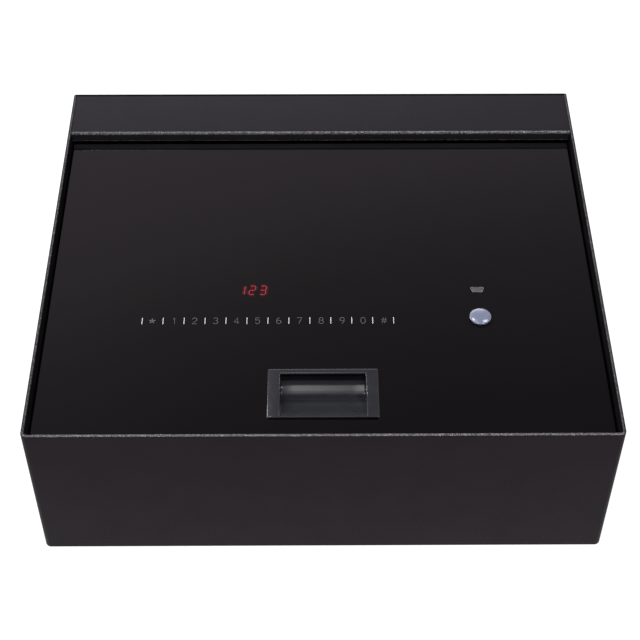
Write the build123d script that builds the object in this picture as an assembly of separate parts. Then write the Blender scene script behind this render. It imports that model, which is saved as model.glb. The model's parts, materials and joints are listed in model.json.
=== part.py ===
from build123d import *
import math
import os

# Top-loading safe with a glass-faced lid that hinges under a fixed rear cover strip.
# Origin in the middle of the base, +Z up, front towards -Y, hinge side towards +Y.
# Every size is in millimetres and every angle in degrees.

# Case, rim and base
case_width = 400.0
case_depth = 350.0
case_height = 130.0
sheet = 2.5
case_corner = 4.2
rim_round = 1.1
foot_round = 1.2
base_thickness = 2.5
anchor_spacing_x = 260.0
anchor_spacing_y = 180.0
anchor_hole_radius = 5.0
mat_thickness = 2.0
mat_gap = 1.0
mat_hole_margin = 4.0

# Rear cover strip
strip_depth = 48.0
strip_flange = 8.7
strip_bend = 3.0

# Clearances that many pieces share
cut_over = 1.0
press_gap = 0.02
hole_gap = 0.1
slide_gap = 0.3

# Lid stack, from the glass down
glass_sink = 10.0
glass_thickness = 4.0
glass_corner = 3.0
glass_bevel = 0.5
tape_thickness = 1.0
tape_width = 14.0
plate_thickness = 3.0
plate_inset = 1.0
side_gap = 1.25
front_gap = 1.3
rear_gap = 1.5

# Lid hinge
lid_opening = 80.0
hinge_back = 15.0
hinge_drop = 7.5
hinge_spacing = 300.0
pin_radius = 2.5
pin_head = 1.5
pin_head_radius = 4.2
pin_tail = 2.0
clip_radius = 4.0
clip_thickness = 0.8
clip_gap = 0.2
running_gap = 0.05
swing_gap = 0.5
arm_thickness = 5.0
arm_width = 8.0
arm_gap = 1.3
arm_reach = 62.0
arm_tail = 2.5
arm_neck_angle = -112.0
arm_band_front_angle = -50.0
arm_band_overlap = 10.0
arm_foot_width = 18.0
arm_foot_length = 40.0
arm_foot_thickness = 3.0
ear_thickness = 3.0
ear_gap = 0.4
ear_front = 7.0
bracket_drop = 20.0

# Lid struts
strut_closed_angle = 70.0
strut_foot_height = 24.0
strut_eye_drop = 6.5
strut_wall_gap = 11.0
strut_pin_radius = 3.0
strut_pin_head_radius = 4.5
eye_radius = 5.5
eye_width = 7.0
neck_radius = 3.2
tube_radius = 7.0
tube_wall = 1.2
tube_cap = 3.0
tube_start = 9.0
tube_round = 1.5
rod_radius = 3.0
piston_thickness = 4.0
strut_play = 0.5
strut_pin_head = 1.5
strut_plate = 3.0
strut_plate_size = 24.0
strut_plate_round = 4.0
strut_ear_length = 18.0
strut_ear_below = 6.0
strut_foot_width = 14.0
strut_screw_spacing = 10.0

# Strike and bolts
bolt_travel = 12.0
bolt_spacing = 210.0
bolt_radius = 5.5
bolt_drop = 12.0
bolt_shank_radius = 3.5
bolt_bevel = 1.0
strike_offset = 10.0
strike_length = 300.0
strike_height = 19.5
strike_hole_gap = 0.7
pad_height = 2.2
pad_width = 12.0
seat_gap = 0.3
tip_gap = 4.0
bar_sheet = 3.0
bar_height = 14.0
bar_overhang = 25.0
bar_gap = 5.5
guide_width = 24.0
guide_length = 16.0
guide_height = 20.0
guide_screw_inset = 3.0
shank_tail = 7.0
bolt_nut_radius = 6.3
bolt_nut_height = 4.0

# Pull handle
handle_width = 77.0
handle_depth = 42.8
handle_inset = 22.4
handle_proud = 1.5
handle_border = 1.0
handle_cut_gap = 0.3
handle_corner = 1.0
handle_edge = 0.5
handle_plate_gap = 1.0
handle_screw_depth = 6.0
recess_width = 59.0
recess_depth = 13.0
recess_lip = 4.2
recess_front_lip = 1.2
recess_slope_length = 26.5
recess_bottom_radius = 10.2
recess_heel_radius = 12.0
recess_front_drop = 0.8
recess_front_radius = 1.0
recess_lip_radius = 0.6
handle_wall = 1.4
lip_thickness = 2.0
strap_sheet = 1.5
strap_width = 16.0
strap_side_gap = 1.0
strap_foot = 13.0

# Keypad, display and boards
key_count = 12
key_pitch = 15.0
key_row_x = -38.8
key_row_inset = 110.7
board_thickness = 1.6
keypad_board_depth = 20.0
keypad_margin = 7.0
window_gap = 3.0
display_x = -46.7
display_inset = 140.4
display_width = 32.0
display_depth = 14.0
display_height = 8.0
display_corner = 0.8
control_board_width = 120.0
control_board_depth = 32.0
chip_offset = 26.0
chip_size = 12.0
chip_height = 1.6
switch_size = 6.0
switch_height = 4.5
buzzer_offset = 44.0
buzzer_radius = 6.0
buzzer_height = 5.5
buzzer_hole_radius = 1.0
buzzer_hole_depth = 2.0
spacer_radius = 3.0
spacer_inset_x = 5.0
spacer_inset_y = 4.0

# Emergency power port
port_x = 112.4
port_inset = 141.1
port_top_width = 9.5
port_foot_width = 6.9
port_depth = 5.2
port_height = 13.6
port_shell = 0.5
port_gap = 0.15
port_sink = 0.4
port_base = 4.0
port_plate_gap = 2.0
tongue_inset = 1.1
tongue_thickness = 2.4
tongue_sink = 0.5
port_board_width = 32.0
port_board_depth = 16.0
port_spacer_spacing = 24.0

# Emergency lock
lock_x = 112.5
lock_inset = 113.0
lock_body_radius = 7.0
lock_body_height = 17.0
lock_plug_radius = 4.5
lock_tail_radius = 3.0
lock_tail_proud = 1.5
lock_nut_radius = 11.0
lock_nut_height = 4.0
plug_sink = 0.3
bezel_radius = 9.1
bezel_rise = 0.3
bezel_edge = 0.2
cap_radius = 8.05
cap_rise = 2.8
cap_edge = 0.7
cap_seat_height = 0.4
cap_skirt = 4.0
cap_skirt_inset = 0.85
cap_wall = 1.0
cam_thickness = 2.5
cam_width = 5.0
cam_hub_wall = 2.0
cam_gap = 0.5
cam_turn = 90.0
cam_pin_radius = 1.5
cam_slot_gap = 0.4
fork_thickness = 3.0
fork_gap = 1.0
fork_side_gap = 0.8
fork_margin = 7.0
fork_wall = 4.0
keyhole_width = 1.4
keyhole_length = 6.5
keyhole_depth = 8.0

# Bolt drive
gear_module = 0.8
gear_teeth = 16
gear_width = 6.0
tooth_root = 1.25
tooth_tip = 0.9
pressure_angle = 20.0
tooth_play = 0.2
tooth_bury = 0.5
spare_teeth = 2
rack_width = 4.0
rack_height = 6.0
rack_x = 53.0
gear_inset = 113.0
motor_width = 12.0
motor_height = 10.0
gearbox_length = 9.0
motor_length = 15.0
motor_shaft_radius = 1.5
shaft_proud = 0.5
pinion_gap = 1.0
motor_foot = 16.0
motor_margin = 2.0
lead_radius = 1.0
lead_bend = 3.0
lead_out = 7.0
lead_inset = 5.0

# Battery box and inner cover
cell_count = 4
cell_radius = 7.1
cell_length = 49.0
cell_nub = 1.5
cell_nub_radius = 2.7
cell_edge = 0.5
cell_pitch = 15.2
battery_left = -128.0
battery_inset = 109.0
battery_wall = 1.4
contact_sheet = 0.5
contact_size = 10.0
cover_half_width = 148.0
cover_length = 156.0
cover_depth = 30.0
cover_wall = 2.0
cover_corner = 8.0
cover_round = 3.0
cover_front_gap = 5.0
boss_radius = 4.5
door_thickness = 2.0
door_margin = 3.0
grip_count = 5
grip_pitch = 3.0
grip_width = 24.0
grip_rib = 1.2
grip_height = 0.8
grip_inset = 4.0
rail_sheet = 1.5
rail_lip = 2.0
button_x = -40.0
button_inset = 143.0
button_radius = 2.5
button_travel = 1.2
button_proud = 1.0
collar_gap = 0.2
collar_thickness = 1.2
collar_reach = 2.0

# Fasteners
screw_radius = 1.5
screw_head_radius = 3.0
screw_head = 2.0
screw_tip_gap = 0.2

# Levels and edges worked out from the sizes above
front = -case_depth / 2
back = case_depth / 2
inner_side = case_width / 2 - sheet
inner_front = front + sheet
inner_back = back - sheet
strip_front = back - strip_depth
strip_under = case_height - sheet
glass_top = case_height - glass_sink
glass_under = glass_top - glass_thickness
plate_top = glass_under - tape_thickness
plate_under = plate_top - plate_thickness
glass_side = inner_side - side_gap
glass_front = inner_front + front_gap
glass_back = strip_front - rear_gap
plate_side = glass_side - plate_inset
plate_front = glass_front + plate_inset
hinge_y = strip_front + hinge_back
hinge_z = case_height - hinge_drop
knuckle_radius = hinge_drop - sheet - swing_gap
arm_x = hinge_spacing / 2
strip_reach = math.hypot(hinge_back - strip_bend, hinge_drop - strip_bend) + strip_bend
band_inner = strip_reach + arm_gap
band_outer = band_inner + arm_width

strut_x = inner_side - strut_wall_gap
lid_pivot_z = plate_under - strut_eye_drop
lid_pivot_fall = hinge_z - lid_pivot_z
foot_pivot_fall = hinge_z - strut_foot_height
closed_turn = math.radians(strut_closed_angle)
fall_ratio = foot_pivot_fall / lid_pivot_fall
lid_pivot_angle = math.atan2(math.sin(closed_turn), fall_ratio - math.cos(closed_turn))
strut_radius = lid_pivot_fall / math.sin(lid_pivot_angle)
lid_pivot_y = hinge_y - strut_radius * math.cos(lid_pivot_angle)
foot_pivot_y = hinge_y - strut_radius * math.cos(lid_pivot_angle + closed_turn)
strut_closed = 2 * strut_radius * math.sin(closed_turn / 2)
strut_open = 2 * strut_radius * math.sin(closed_turn / 2 + math.radians(lid_opening) / 2)
strut_stroke = strut_open - strut_closed
tube_bore = tube_radius - tube_wall
piston_start = tube_start + tube_cap + strut_play
tube_end = piston_start + piston_thickness + strut_stroke + strut_play + tube_cap
strut_lean = math.degrees(math.atan2(foot_pivot_y - lid_pivot_y, lid_pivot_z - strut_foot_height))

bolt_z = plate_under - bolt_drop
strike_front = inner_front + strike_offset
strike_back = strike_front + sheet
strike_top = plate_under - seat_gap - pad_height
bolt_tip = strike_back + tip_gap
handle_front = front + handle_inset
handle_back = handle_front + handle_depth
handle_top = glass_top + handle_proud
bar_front = handle_back + bolt_travel + bar_gap
bar_back = bar_front + bar_sheet
bolt_x = bolt_spacing / 2
cover_front = strike_back + cover_front_gap
cover_back = cover_front + cover_length
cover_under = plate_under - cover_depth
cover_floor = cover_under + cover_wall
guide_front = cover_front + cover_wall * 2

lock_y = front + lock_inset
lock_under = plate_top - lock_body_height
fork_top = lock_under - fork_gap
fork_under = fork_top - fork_thickness
cam_top = fork_under - cam_gap
cam_under = cam_top - cam_thickness
cam_throw = bolt_travel / 2 / math.sin(math.radians(cam_turn / 2))
fork_slot_y = lock_y + bolt_travel / 2
fork_left = lock_x + lock_tail_radius + fork_side_gap
fork_right = lock_x + cam_throw + cam_pin_radius + fork_margin

gear_pitch_radius = gear_module * gear_teeth / 2
gear_y = front + gear_inset
gear_z = bolt_z - gear_pitch_radius
rack_root = bolt_z + tooth_root * gear_module
rack_top = bolt_z + rack_height
tooth_pitch = math.pi * gear_module
key_row_y = front + key_row_inset
key_row_width = key_count * key_pitch
display_y = front + display_inset
control_under = glass_under - display_height - board_thickness
port_y = front + port_inset
port_top = glass_top - port_sink
port_under = port_top - port_height
cell_z = cover_under + cell_radius
battery_top = cell_z + cell_radius + slide_gap + battery_wall
battery_right = battery_left + cell_count * cell_pitch + 2 * battery_wall
battery_front = front + battery_inset
battery_back = battery_front + cell_length + 2 * (cell_nub + battery_wall)
door_top = cover_under - seat_gap
door_under = door_top - door_thickness
rail_under = door_under - slide_gap - rail_sheet
button_y = front + button_inset
handle_under = handle_top - recess_depth - handle_wall
cap_seat = glass_top + cap_seat_height
skirt_radius = cap_radius - cap_skirt_inset
screw_tip = plate_top - screw_tip_gap


def slab(x0, x1, y0, y1, z0, z1):
    """A straight block between two corners."""
    return Pos((x0 + x1) / 2, (y0 + y1) / 2, (z0 + z1) / 2) * Box(x1 - x0, y1 - y0, z1 - z0)


def rounded_slab(x0, x1, y0, y1, z0, z1, radius):
    """A block with its four upright edges rounded."""
    outline = Pos((x0 + x1) / 2, (y0 + y1) / 2, z0) * RectangleRounded(x1 - x0, y1 - y0, radius)
    return extrude(outline, amount=z1 - z0, dir=(0, 0, 1))


def round_x(radius, x0, x1, y, z):
    """A round bar along X."""
    return Pos((x0 + x1) / 2, y, z) * Rot(0, 90, 0) * Cylinder(radius, x1 - x0)


def round_y(radius, y0, y1, x, z):
    """A round bar along Y."""
    return Pos(x, (y0 + y1) / 2, z) * Rot(90, 0, 0) * Cylinder(radius, y1 - y0)


def round_z(radius, z0, z1, x, y):
    """A round bar along Z."""
    return Pos(x, y, (z0 + z1) / 2) * Cylinder(radius, z1 - z0)


def side_profile(points, x0, x1):
    """A closed outline of (y, z) points, carried along X."""
    face = make_face(Polyline([(y, z) for y, z in points], close=True))
    return Pos(x0, 0, 0) * extrude(Plane.YZ * face, amount=x1 - x0)


def hex_nut(x, y, z0, z1, radius, bore):
    """A nut on an upright thread, radius to its corners."""
    outline = Pos(x, y, z0) * RegularPolygon(radius, 6)
    return extrude(outline, amount=z1 - z0, dir=(0, 0, 1)) - round_z(bore, z0, z1, x, y)


def screw_up(x, y, head_top, tip, shank=screw_radius, head=screw_head_radius):
    """A pan-head screw driven upwards, with its head below head_top."""
    body = round_z(shank, head_top - screw_head / 2, tip, x, y)
    cap = round_z(head, head_top - screw_head, head_top, x, y)
    return body + fillet(cap.edges().group_by(Axis.Z)[0], screw_head / 3)


def both_sides(shape):
    """A shape and its mirror image across the middle of the safe."""
    return [shape, mirror(shape, about=Plane.YZ)]


# Case

def body_wrap():
    """Four walls folded from one sheet, with a rounded rim round the opening."""
    outer = rounded_slab(-case_width / 2, case_width / 2, front, back, 0, case_height, case_corner)
    hollow = rounded_slab(-inner_side, inner_side, inner_front, inner_back, 0, case_height,
                          case_corner - sheet)
    walls = outer - hollow
    ahead = walls & slab(-case_width, case_width, front, strip_front, 0, case_height)
    behind = walls & slab(-case_width, case_width, strip_front, back, 0, case_height)
    rim = [e for e in ahead.edges().group_by(Axis.Z)[-1]
           if abs(e.center().Y - strip_front) > 0.01]
    ahead = fillet(rim, rim_round)
    ridge = [e for e in behind.edges().group_by(Axis.Z)[-1]
             if abs(e.center().X) > inner_side + sheet / 2 or e.center().Y > inner_back + sheet / 2]
    behind = fillet(ridge, rim_round)
    wrap = ahead + behind
    foot = [e for e in wrap.edges().group_by(Axis.Z)[0]
            if abs(e.center().X) > inner_side + 0.1 or abs(e.center().Y) > inner_back + 0.1]
    return fillet(foot, foot_round)


def anchor_places():
    """The four fixing points in the base."""
    return [(sx * anchor_spacing_x / 2, sy * anchor_spacing_y / 2) for sx in (-1, 1) for sy in (-1, 1)]


def base_plate():
    """The floor of the case, drilled for the fixing bolts."""
    plate = rounded_slab(-inner_side, inner_side, inner_front, inner_back, 0, base_thickness,
                         case_corner - sheet)
    for x, y in anchor_places():
        plate -= round_z(anchor_hole_radius, 0, base_thickness, x, y)
    return plate


def floor_mat():
    """Loose mat on the base, cut away round the fixing bolts."""
    side = inner_side - mat_gap
    top = base_thickness + mat_thickness
    mat = rounded_slab(-side, side, inner_front + mat_gap, inner_back - mat_gap, base_thickness, top,
                       case_corner)
    for x, y in anchor_places():
        mat -= round_z(anchor_hole_radius + mat_hole_margin, base_thickness, top, x, y)
    return mat


def rear_cover_strip():
    """Fixed top plate over the hinge, bent down along its front edge."""
    top = rounded_slab(-inner_side, inner_side, strip_front, inner_back, strip_under, case_height,
                       case_corner - sheet)
    top += slab(-inner_side, inner_side, strip_front, strip_front + strip_depth / 2, strip_under,
                case_height)
    strip = top + slab(-inner_side, inner_side, strip_front, strip_front + sheet,
                       case_height - strip_flange, case_height)
    bend = strip.edges().filter_by(Axis.X).filter_by(
        lambda e: abs(e.center().Y - strip_front) < 0.01 and abs(e.center().Z - case_height) < 0.01)
    strip = fillet(bend, strip_bend)
    inside = strip.edges().filter_by(Axis.X).filter_by(
        lambda e: abs(e.center().Y - strip_front - sheet) < 0.01
        and abs(e.center().Z - strip_under) < 0.01)
    return fillet(inside, strip_bend - sheet)


def strike_angle():
    """Angle inside the front wall that the bolts catch behind."""
    half = strike_length / 2
    shelf = slab(-half, half, inner_front, strike_back, strike_top - sheet, strike_top)
    plate = slab(-half, half, strike_front, strike_back, strike_top - strike_height, strike_top)
    strike = shelf + plate
    for x in (-bolt_x, bolt_x):
        strike -= round_y(bolt_radius + strike_hole_gap, strike_front, strike_back, x, bolt_z)
    return strike


def lid_stop_pads():
    """Rubber pads on the strike that the closed lid comes down on."""
    x1 = strike_length / 2 - pad_width / 2
    y0 = inner_front + sheet
    pad = slab(x1 - pad_width, x1, y0, strike_back - sheet / 2, strike_top, strike_top + pad_height)
    return both_sides(pad)


def hinge_bracket():
    """Two ears and a web under the strip, on the right, that hold the hinge pin."""
    drop = hinge_z - knuckle_radius - sheet
    low = hinge_z - bracket_drop
    outline = [(hinge_y - ear_front, strip_under), (inner_back, strip_under), (inner_back, low),
               (inner_back - ear_thickness, low), (hinge_y + ear_front, drop),
               (hinge_y - ear_front, drop)]
    inner = arm_x - arm_thickness / 2 - ear_gap
    outer = arm_x + arm_thickness / 2 + ear_gap
    ears = side_profile(outline, inner - ear_thickness, inner)
    ears += side_profile(outline, outer, outer + ear_thickness)
    ears += slab(inner, outer, inner_back - ear_thickness, inner_back, low, strip_under)
    return ears - round_x(pin_radius + press_gap, inner - ear_thickness, outer + ear_thickness, hinge_y,
                          hinge_z)


def hinge_pin():
    """Headed pin through the right bracket."""
    reach = arm_thickness / 2 + ear_gap + ear_thickness
    pin = round_x(pin_radius, arm_x - reach - pin_head, arm_x + reach + pin_tail, hinge_y, hinge_z)
    head_end = arm_x - reach
    return pin + round_x(pin_head_radius, head_end - pin_head, head_end, hinge_y, hinge_z)


def hinge_clip():
    """Retaining ring on the far end of the hinge pin."""
    ear_end = arm_x + arm_thickness / 2 + ear_gap + ear_thickness
    start = ear_end + clip_gap
    ring = round_x(clip_radius, start, start + clip_thickness, hinge_y, hinge_z)
    return ring - round_x(pin_radius + press_gap, start, start + clip_thickness, hinge_y, hinge_z)


def strut_bracket():
    """Plate welded to the right wall, with a hole for the lower strut pin."""
    half = strut_plate_size / 2
    plate = slab(inner_side - strut_plate, inner_side, foot_pivot_y - half, foot_pivot_y + half,
                 strut_foot_height - half, strut_foot_height + half)
    plate = fillet(plate.edges().filter_by(Axis.X), strut_plate_round)
    return plate - round_x(strut_pin_radius + press_gap, inner_side - strut_plate, inner_side,
                           foot_pivot_y, strut_foot_height)


def foot_strut_pin():
    """Shouldered pin that carries the lower eye of the right strut."""
    head_end = strut_x - eye_width / 2 - strut_play
    pin = round_x(strut_pin_radius, head_end - strut_pin_head, inner_side, foot_pivot_y,
                  strut_foot_height)
    return pin + round_x(strut_pin_head_radius, head_end - strut_pin_head, head_end, foot_pivot_y,
                         strut_foot_height)


# Lid panel

def trapezoid(top_width, foot_width, depth):
    """Outline of the power port, wide side to the rear."""
    half_top = top_width / 2
    half_foot = foot_width / 2
    shoulder = depth / 3
    return Polyline([(-half_top, depth / 2), (half_top, depth / 2), (half_top, depth / 2 - shoulder),
                     (half_foot, -depth / 2), (-half_foot, -depth / 2),
                     (-half_top, depth / 2 - shoulder)], close=True)


def port_prism(grow, z0, z1):
    """Upright prism with the port's outline, grown all round."""
    face = make_face(trapezoid(port_top_width + 2 * grow, port_foot_width + 2 * grow,
                               port_depth + 2 * grow))
    return extrude(Pos(port_x, port_y, z0) * face, amount=z1 - z0, dir=(0, 0, 1))


def handle_body_box(gap, z0, z1):
    """The part of the handle that drops through the lid, with a gap all round."""
    side = handle_width / 2 - handle_border - handle_cut_gap + gap
    ahead = handle_front + handle_border + handle_cut_gap - gap
    behind = handle_back - handle_border - handle_cut_gap + gap
    return rounded_slab(-side, side, ahead, behind, z0, z1, handle_corner + gap)


def glass_panel():
    """Toughened glass lid panel, cut out for the handle, the port and the lock."""
    glass = rounded_slab(-glass_side, glass_side, glass_front, glass_back, glass_under, glass_top,
                         glass_corner)
    glass = chamfer(glass.edges().group_by(Axis.Z)[-1], glass_bevel)
    glass -= handle_body_box(handle_cut_gap, glass_under, glass_top)
    glass -= port_prism(port_gap, glass_under, glass_top)
    return glass - round_z(bezel_radius + hole_gap, glass_under, glass_top, lock_x, lock_y)


def glass_tape():
    """Bonding tape between the rim of the plate and the glass."""
    side = plate_side - plate_inset
    ahead = plate_front + plate_inset
    behind = glass_back - 2 * plate_inset
    ring = slab(-side, side, ahead, behind, plate_top, glass_under)
    return ring - slab(-side + tape_width, side - tape_width, ahead + tape_width,
                       behind - tape_width, plate_top, glass_under)


def display_window(gap, z0, z1):
    """Space over the display, with a gap all round."""
    return slab(display_x - display_width / 2 - gap, display_x + display_width / 2 + gap,
                display_y - display_depth / 2 - gap, display_y + display_depth / 2 + gap, z0, z1)


def keypad_slab(gap, z0, z1):
    """Space of the keypad board, with a gap all round."""
    half = key_row_width / 2 + keypad_margin + gap
    return slab(key_row_x - half, key_row_x + half, key_row_y - keypad_board_depth / 2 - gap,
                key_row_y + keypad_board_depth / 2 + gap, z0, z1)


def arm_screw_places():
    """Screws through the right arm's foot."""
    x = arm_x - arm_thickness / 2 - (arm_foot_width - arm_thickness) / 2
    start = hinge_y - arm_reach
    return [(x, start + arm_foot_length / 4), (x, start + arm_foot_length * 3 / 4)]


def strut_screw_places():
    """Screws through the foot of the right upper strut bracket."""
    x = strut_x - eye_width / 2 - strut_play - strut_plate - strut_foot_width / 2
    return [(x, lid_pivot_y - strut_screw_spacing / 2), (x, lid_pivot_y + strut_screw_spacing / 2)]


def guide_screw_places():
    """Screws through the right bolt guide."""
    y = guide_front + guide_length / 2
    reach = guide_width / 2 - guide_screw_inset
    return [(bolt_x - reach, y), (bolt_x + reach, y)]


def strap_screw_places():
    """Screw through the right foot of the handle strap."""
    inner = handle_width / 2 + strap_side_gap + strap_sheet
    outer = handle_width / 2 + strap_side_gap + strap_foot
    return [((inner + outer) / 2, handle_boss_y())]


def boss_places():
    """Inner cover bosses on the right side."""
    x = cover_half_width - cover_corner
    return [(x, cover_front + cover_corner), (x, cover_back - cover_corner)]


def lid_plate():
    """Steel plate that carries everything in the lid."""
    plate = rounded_slab(-plate_side, plate_side, plate_front, glass_back - plate_inset, plate_under,
                         plate_top, glass_corner)
    plate -= handle_body_box(handle_plate_gap, plate_under, plate_top)
    plate -= keypad_slab(window_gap, plate_under, plate_top)
    plate -= display_window(window_gap, plate_under, plate_top)
    plate -= port_prism(port_plate_gap, plate_under, plate_top)
    plate -= round_z(lock_body_radius + hole_gap, plate_under, plate_top, lock_x, lock_y)
    small = (arm_screw_places() + strut_screw_places() + guide_screw_places() + strap_screw_places()
             + boss_places())
    for x, y in small:
        hole = round_z(screw_radius + hole_gap, plate_under, plate_top, x, y)
        plate -= hole
        plate -= mirror(hole, about=Plane.YZ)
    return plate


# Pull handle

def handle_cup():
    """Recessed pull: a flat surround with a sloping scoop under a rear lip."""
    flange = slab(-handle_width / 2, handle_width / 2, handle_front, handle_back, glass_top,
                  handle_top)
    flange = fillet(flange.edges().filter_by(Axis.Z), handle_corner)
    flange = fillet(flange.edges().group_by(Axis.Z)[-1], handle_edge)
    body = flange + handle_body_box(0, handle_under, glass_top)
    floor = handle_top - recess_depth
    wall = handle_back - handle_border - handle_cut_gap - handle_wall
    lip = handle_back - recess_lip
    corners = [(handle_front + recess_front_lip, handle_top + cut_over),
               (handle_front + recess_front_lip, handle_top - recess_front_drop),
               (handle_front + recess_slope_length, floor),
               (wall, floor),
               (wall, handle_top - lip_thickness),
               (lip, handle_top - lip_thickness),
               (lip, handle_top + cut_over)]
    radii = [0, recess_front_radius, recess_heel_radius, recess_bottom_radius, recess_lip_radius, 0, 0]
    face = make_face(FilletPolyline(corners, radius=radii, close=True))
    scoop = extrude(Plane.YZ * face, amount=recess_width / 2, both=True)
    cup = body - scoop
    pilot = round_z(screw_radius, handle_under, handle_under + handle_screw_depth, handle_boss_x(),
                    handle_boss_y())
    for hole in both_sides(pilot):
        cup -= hole
    return cup


def handle_boss_x():
    """Middle of the solid cheek beside the scoop."""
    return (recess_width / 2 + handle_width / 2 - handle_border) / 2


def handle_boss_y():
    """Middle of the handle, front to back."""
    return (handle_front + handle_back) / 2


def handle_strap():
    """Steel strap that clamps the handle to the lid plate from below."""
    out = handle_width / 2 + strap_side_gap
    low = handle_under - strap_sheet
    y0 = handle_boss_y() - strap_width / 2
    y1 = handle_boss_y() + strap_width / 2
    strap = slab(-out, out, y0, y1, low, handle_under)
    for leg in both_sides(slab(out, out + strap_sheet, y0, y1, low, plate_under)):
        strap += leg
    for foot in both_sides(slab(out, out + strap_foot, y0, y1, plate_under - strap_sheet, plate_under)):
        strap += foot
    bore = screw_radius + hole_gap
    for hole in both_sides(round_z(bore, low, handle_under, handle_boss_x(), handle_boss_y())):
        strap -= hole
    for x, y in strap_screw_places():
        for hole in both_sides(round_z(bore, plate_under - strap_sheet, plate_under, x, y)):
            strap -= hole
    return strap


def lid_screws():
    """All the screws that go up into the lid plate and the handle."""
    strap_under = handle_under - strap_sheet
    screws = [screw_up(handle_boss_x(), handle_boss_y(), strap_under, strap_under + handle_screw_depth,
                       shank=screw_radius - press_gap)]
    screws += [screw_up(x, y, plate_under - strap_sheet, screw_tip)
               for x, y in strap_screw_places() + strut_screw_places()]
    screws += [screw_up(x, y, plate_under - arm_foot_thickness, screw_tip)
               for x, y in arm_screw_places()]
    screws += [screw_up(x, y, plate_under - guide_height, screw_tip) for x, y in guide_screw_places()]
    return [copy for screw in screws for copy in both_sides(screw)]


# Electronics

def keypad_board():
    """Touch board bonded to the underside of the glass."""
    return keypad_slab(0, glass_under - board_thickness, glass_under)


def display_module():
    """Light-emitting display that shines through the glass."""
    body = display_window(0, glass_under - display_height, glass_under)
    return fillet(body.edges().filter_by(Axis.Z), display_corner)


def control_board():
    """Main board under the display, with its processor and reset switch."""
    x0 = display_x - control_board_width / 2
    top = control_under + board_thickness
    board = slab(x0, x0 + control_board_width, display_y - control_board_depth / 2,
                 display_y + control_board_depth / 2, control_under, top)
    board += block_under(display_x + chip_offset, display_y, chip_size, chip_height)
    board += block_under(button_x, button_y, switch_size, switch_height)
    for x, y in board_spacer_places():
        board -= round_z(screw_radius + hole_gap, control_under, top, x, y)
    return board


def block_under(x, y, size, height):
    """A square component under the main board."""
    return slab(x - size / 2, x + size / 2, y - size / 2, y + size / 2, control_under - height,
                control_under)


def board_spacer_places():
    """Fixing points of the main board."""
    half_x = control_board_width / 2 - spacer_inset_x
    half_y = control_board_depth / 2 - spacer_inset_y
    return [(display_x + sx * half_x, display_y + sy * half_y) for sx in (-1, 1) for sy in (-1, 1)]


def board_spacers():
    """Spacers that hang the main board and the port board from the lid plate."""
    top = control_under + board_thickness
    spacers = [round_z(spacer_radius, top, plate_under, x, y) for x, y in board_spacer_places()]
    spacers += [round_z(spacer_radius, port_under, plate_under, x, port_y) for x in port_spacer_xs()]
    return spacers


def port_spacer_xs():
    """Fixing points of the port board."""
    return [port_x - port_spacer_spacing / 2, port_x + port_spacer_spacing / 2]


def buzzer():
    """Round sounder under the main board."""
    x = display_x + buzzer_offset
    low = control_under - buzzer_height
    can = round_z(buzzer_radius, low, control_under, x, display_y)
    return can - round_z(buzzer_hole_radius, low, low + buzzer_hole_depth, x, display_y)


def power_port():
    """Emergency power socket that stands up through the glass, with its tongue."""
    base = port_under + port_base
    shell = port_prism(0, port_under, port_top) - port_prism(-port_shell, base, port_top)
    half = port_foot_width / 2 - tongue_inset
    return shell + slab(port_x - half, port_x + half, port_y - tongue_thickness / 2,
                        port_y + tongue_thickness / 2, base, port_top - tongue_sink)


def port_board():
    """Small board that the power socket is soldered to."""
    return slab(port_x - port_board_width / 2, port_x + port_board_width / 2,
                port_y - port_board_depth / 2, port_y + port_board_depth / 2,
                port_under - board_thickness, port_under)


# Emergency lock

def lock_bezel():
    """Ring in the glass that the lock cap plugs into."""
    top = glass_top + bezel_rise
    ring = round_z(bezel_radius, plate_top, top, lock_x, lock_y)
    ring = fillet(ring.edges().group_by(Axis.Z)[-1], bezel_edge)
    return ring - round_z(skirt_radius + hole_gap, plate_top, top, lock_x, lock_y)


def keyhole_cap():
    """Domed cap over the keyhole, with a hollow skirt."""
    skirt = round_z(skirt_radius, cap_seat - cap_skirt, cap_seat, lock_x, lock_y)
    skirt -= round_z(skirt_radius - cap_wall, cap_seat - cap_skirt, cap_seat, lock_x, lock_y)
    crown = cap_rise - cap_edge
    sphere_radius = (cap_radius ** 2 + crown ** 2) / (2 * crown)
    centre_z = cap_seat + cap_rise - sphere_radius
    dome = Pos(lock_x, lock_y, centre_z) * Sphere(sphere_radius)
    dome &= round_z(cap_radius, cap_seat, cap_seat + 2 * cap_rise, lock_x, lock_y)
    return dome + skirt


def lock_cylinder():
    """Barrel of the cam lock, clamped in the lid plate."""
    barrel = round_z(lock_body_radius, lock_under, plate_top, lock_x, lock_y)
    bore = lock_plug_radius + running_gap
    barrel -= round_z(bore, lock_under, plate_top, lock_x, lock_y)
    return barrel


def lock_nut():
    """Nut that clamps the lock barrel up against the plate."""
    return hex_nut(lock_x, lock_y, plate_under - lock_nut_height, plate_under, lock_nut_radius,
                   lock_body_radius + press_gap)


def lock_plug():
    """Turning plug with its keyhole and tail."""
    top = plate_top - plug_sink
    plug = round_z(lock_plug_radius, lock_under, top, lock_x, lock_y)
    tail = round_z(lock_tail_radius, cam_under - lock_tail_proud, lock_under, lock_x, lock_y)
    key = slab(lock_x - keyhole_width / 2, lock_x + keyhole_width / 2, lock_y - keyhole_length / 2,
               lock_y + keyhole_length / 2, top - keyhole_depth, top)
    return plug + tail - key


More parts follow.
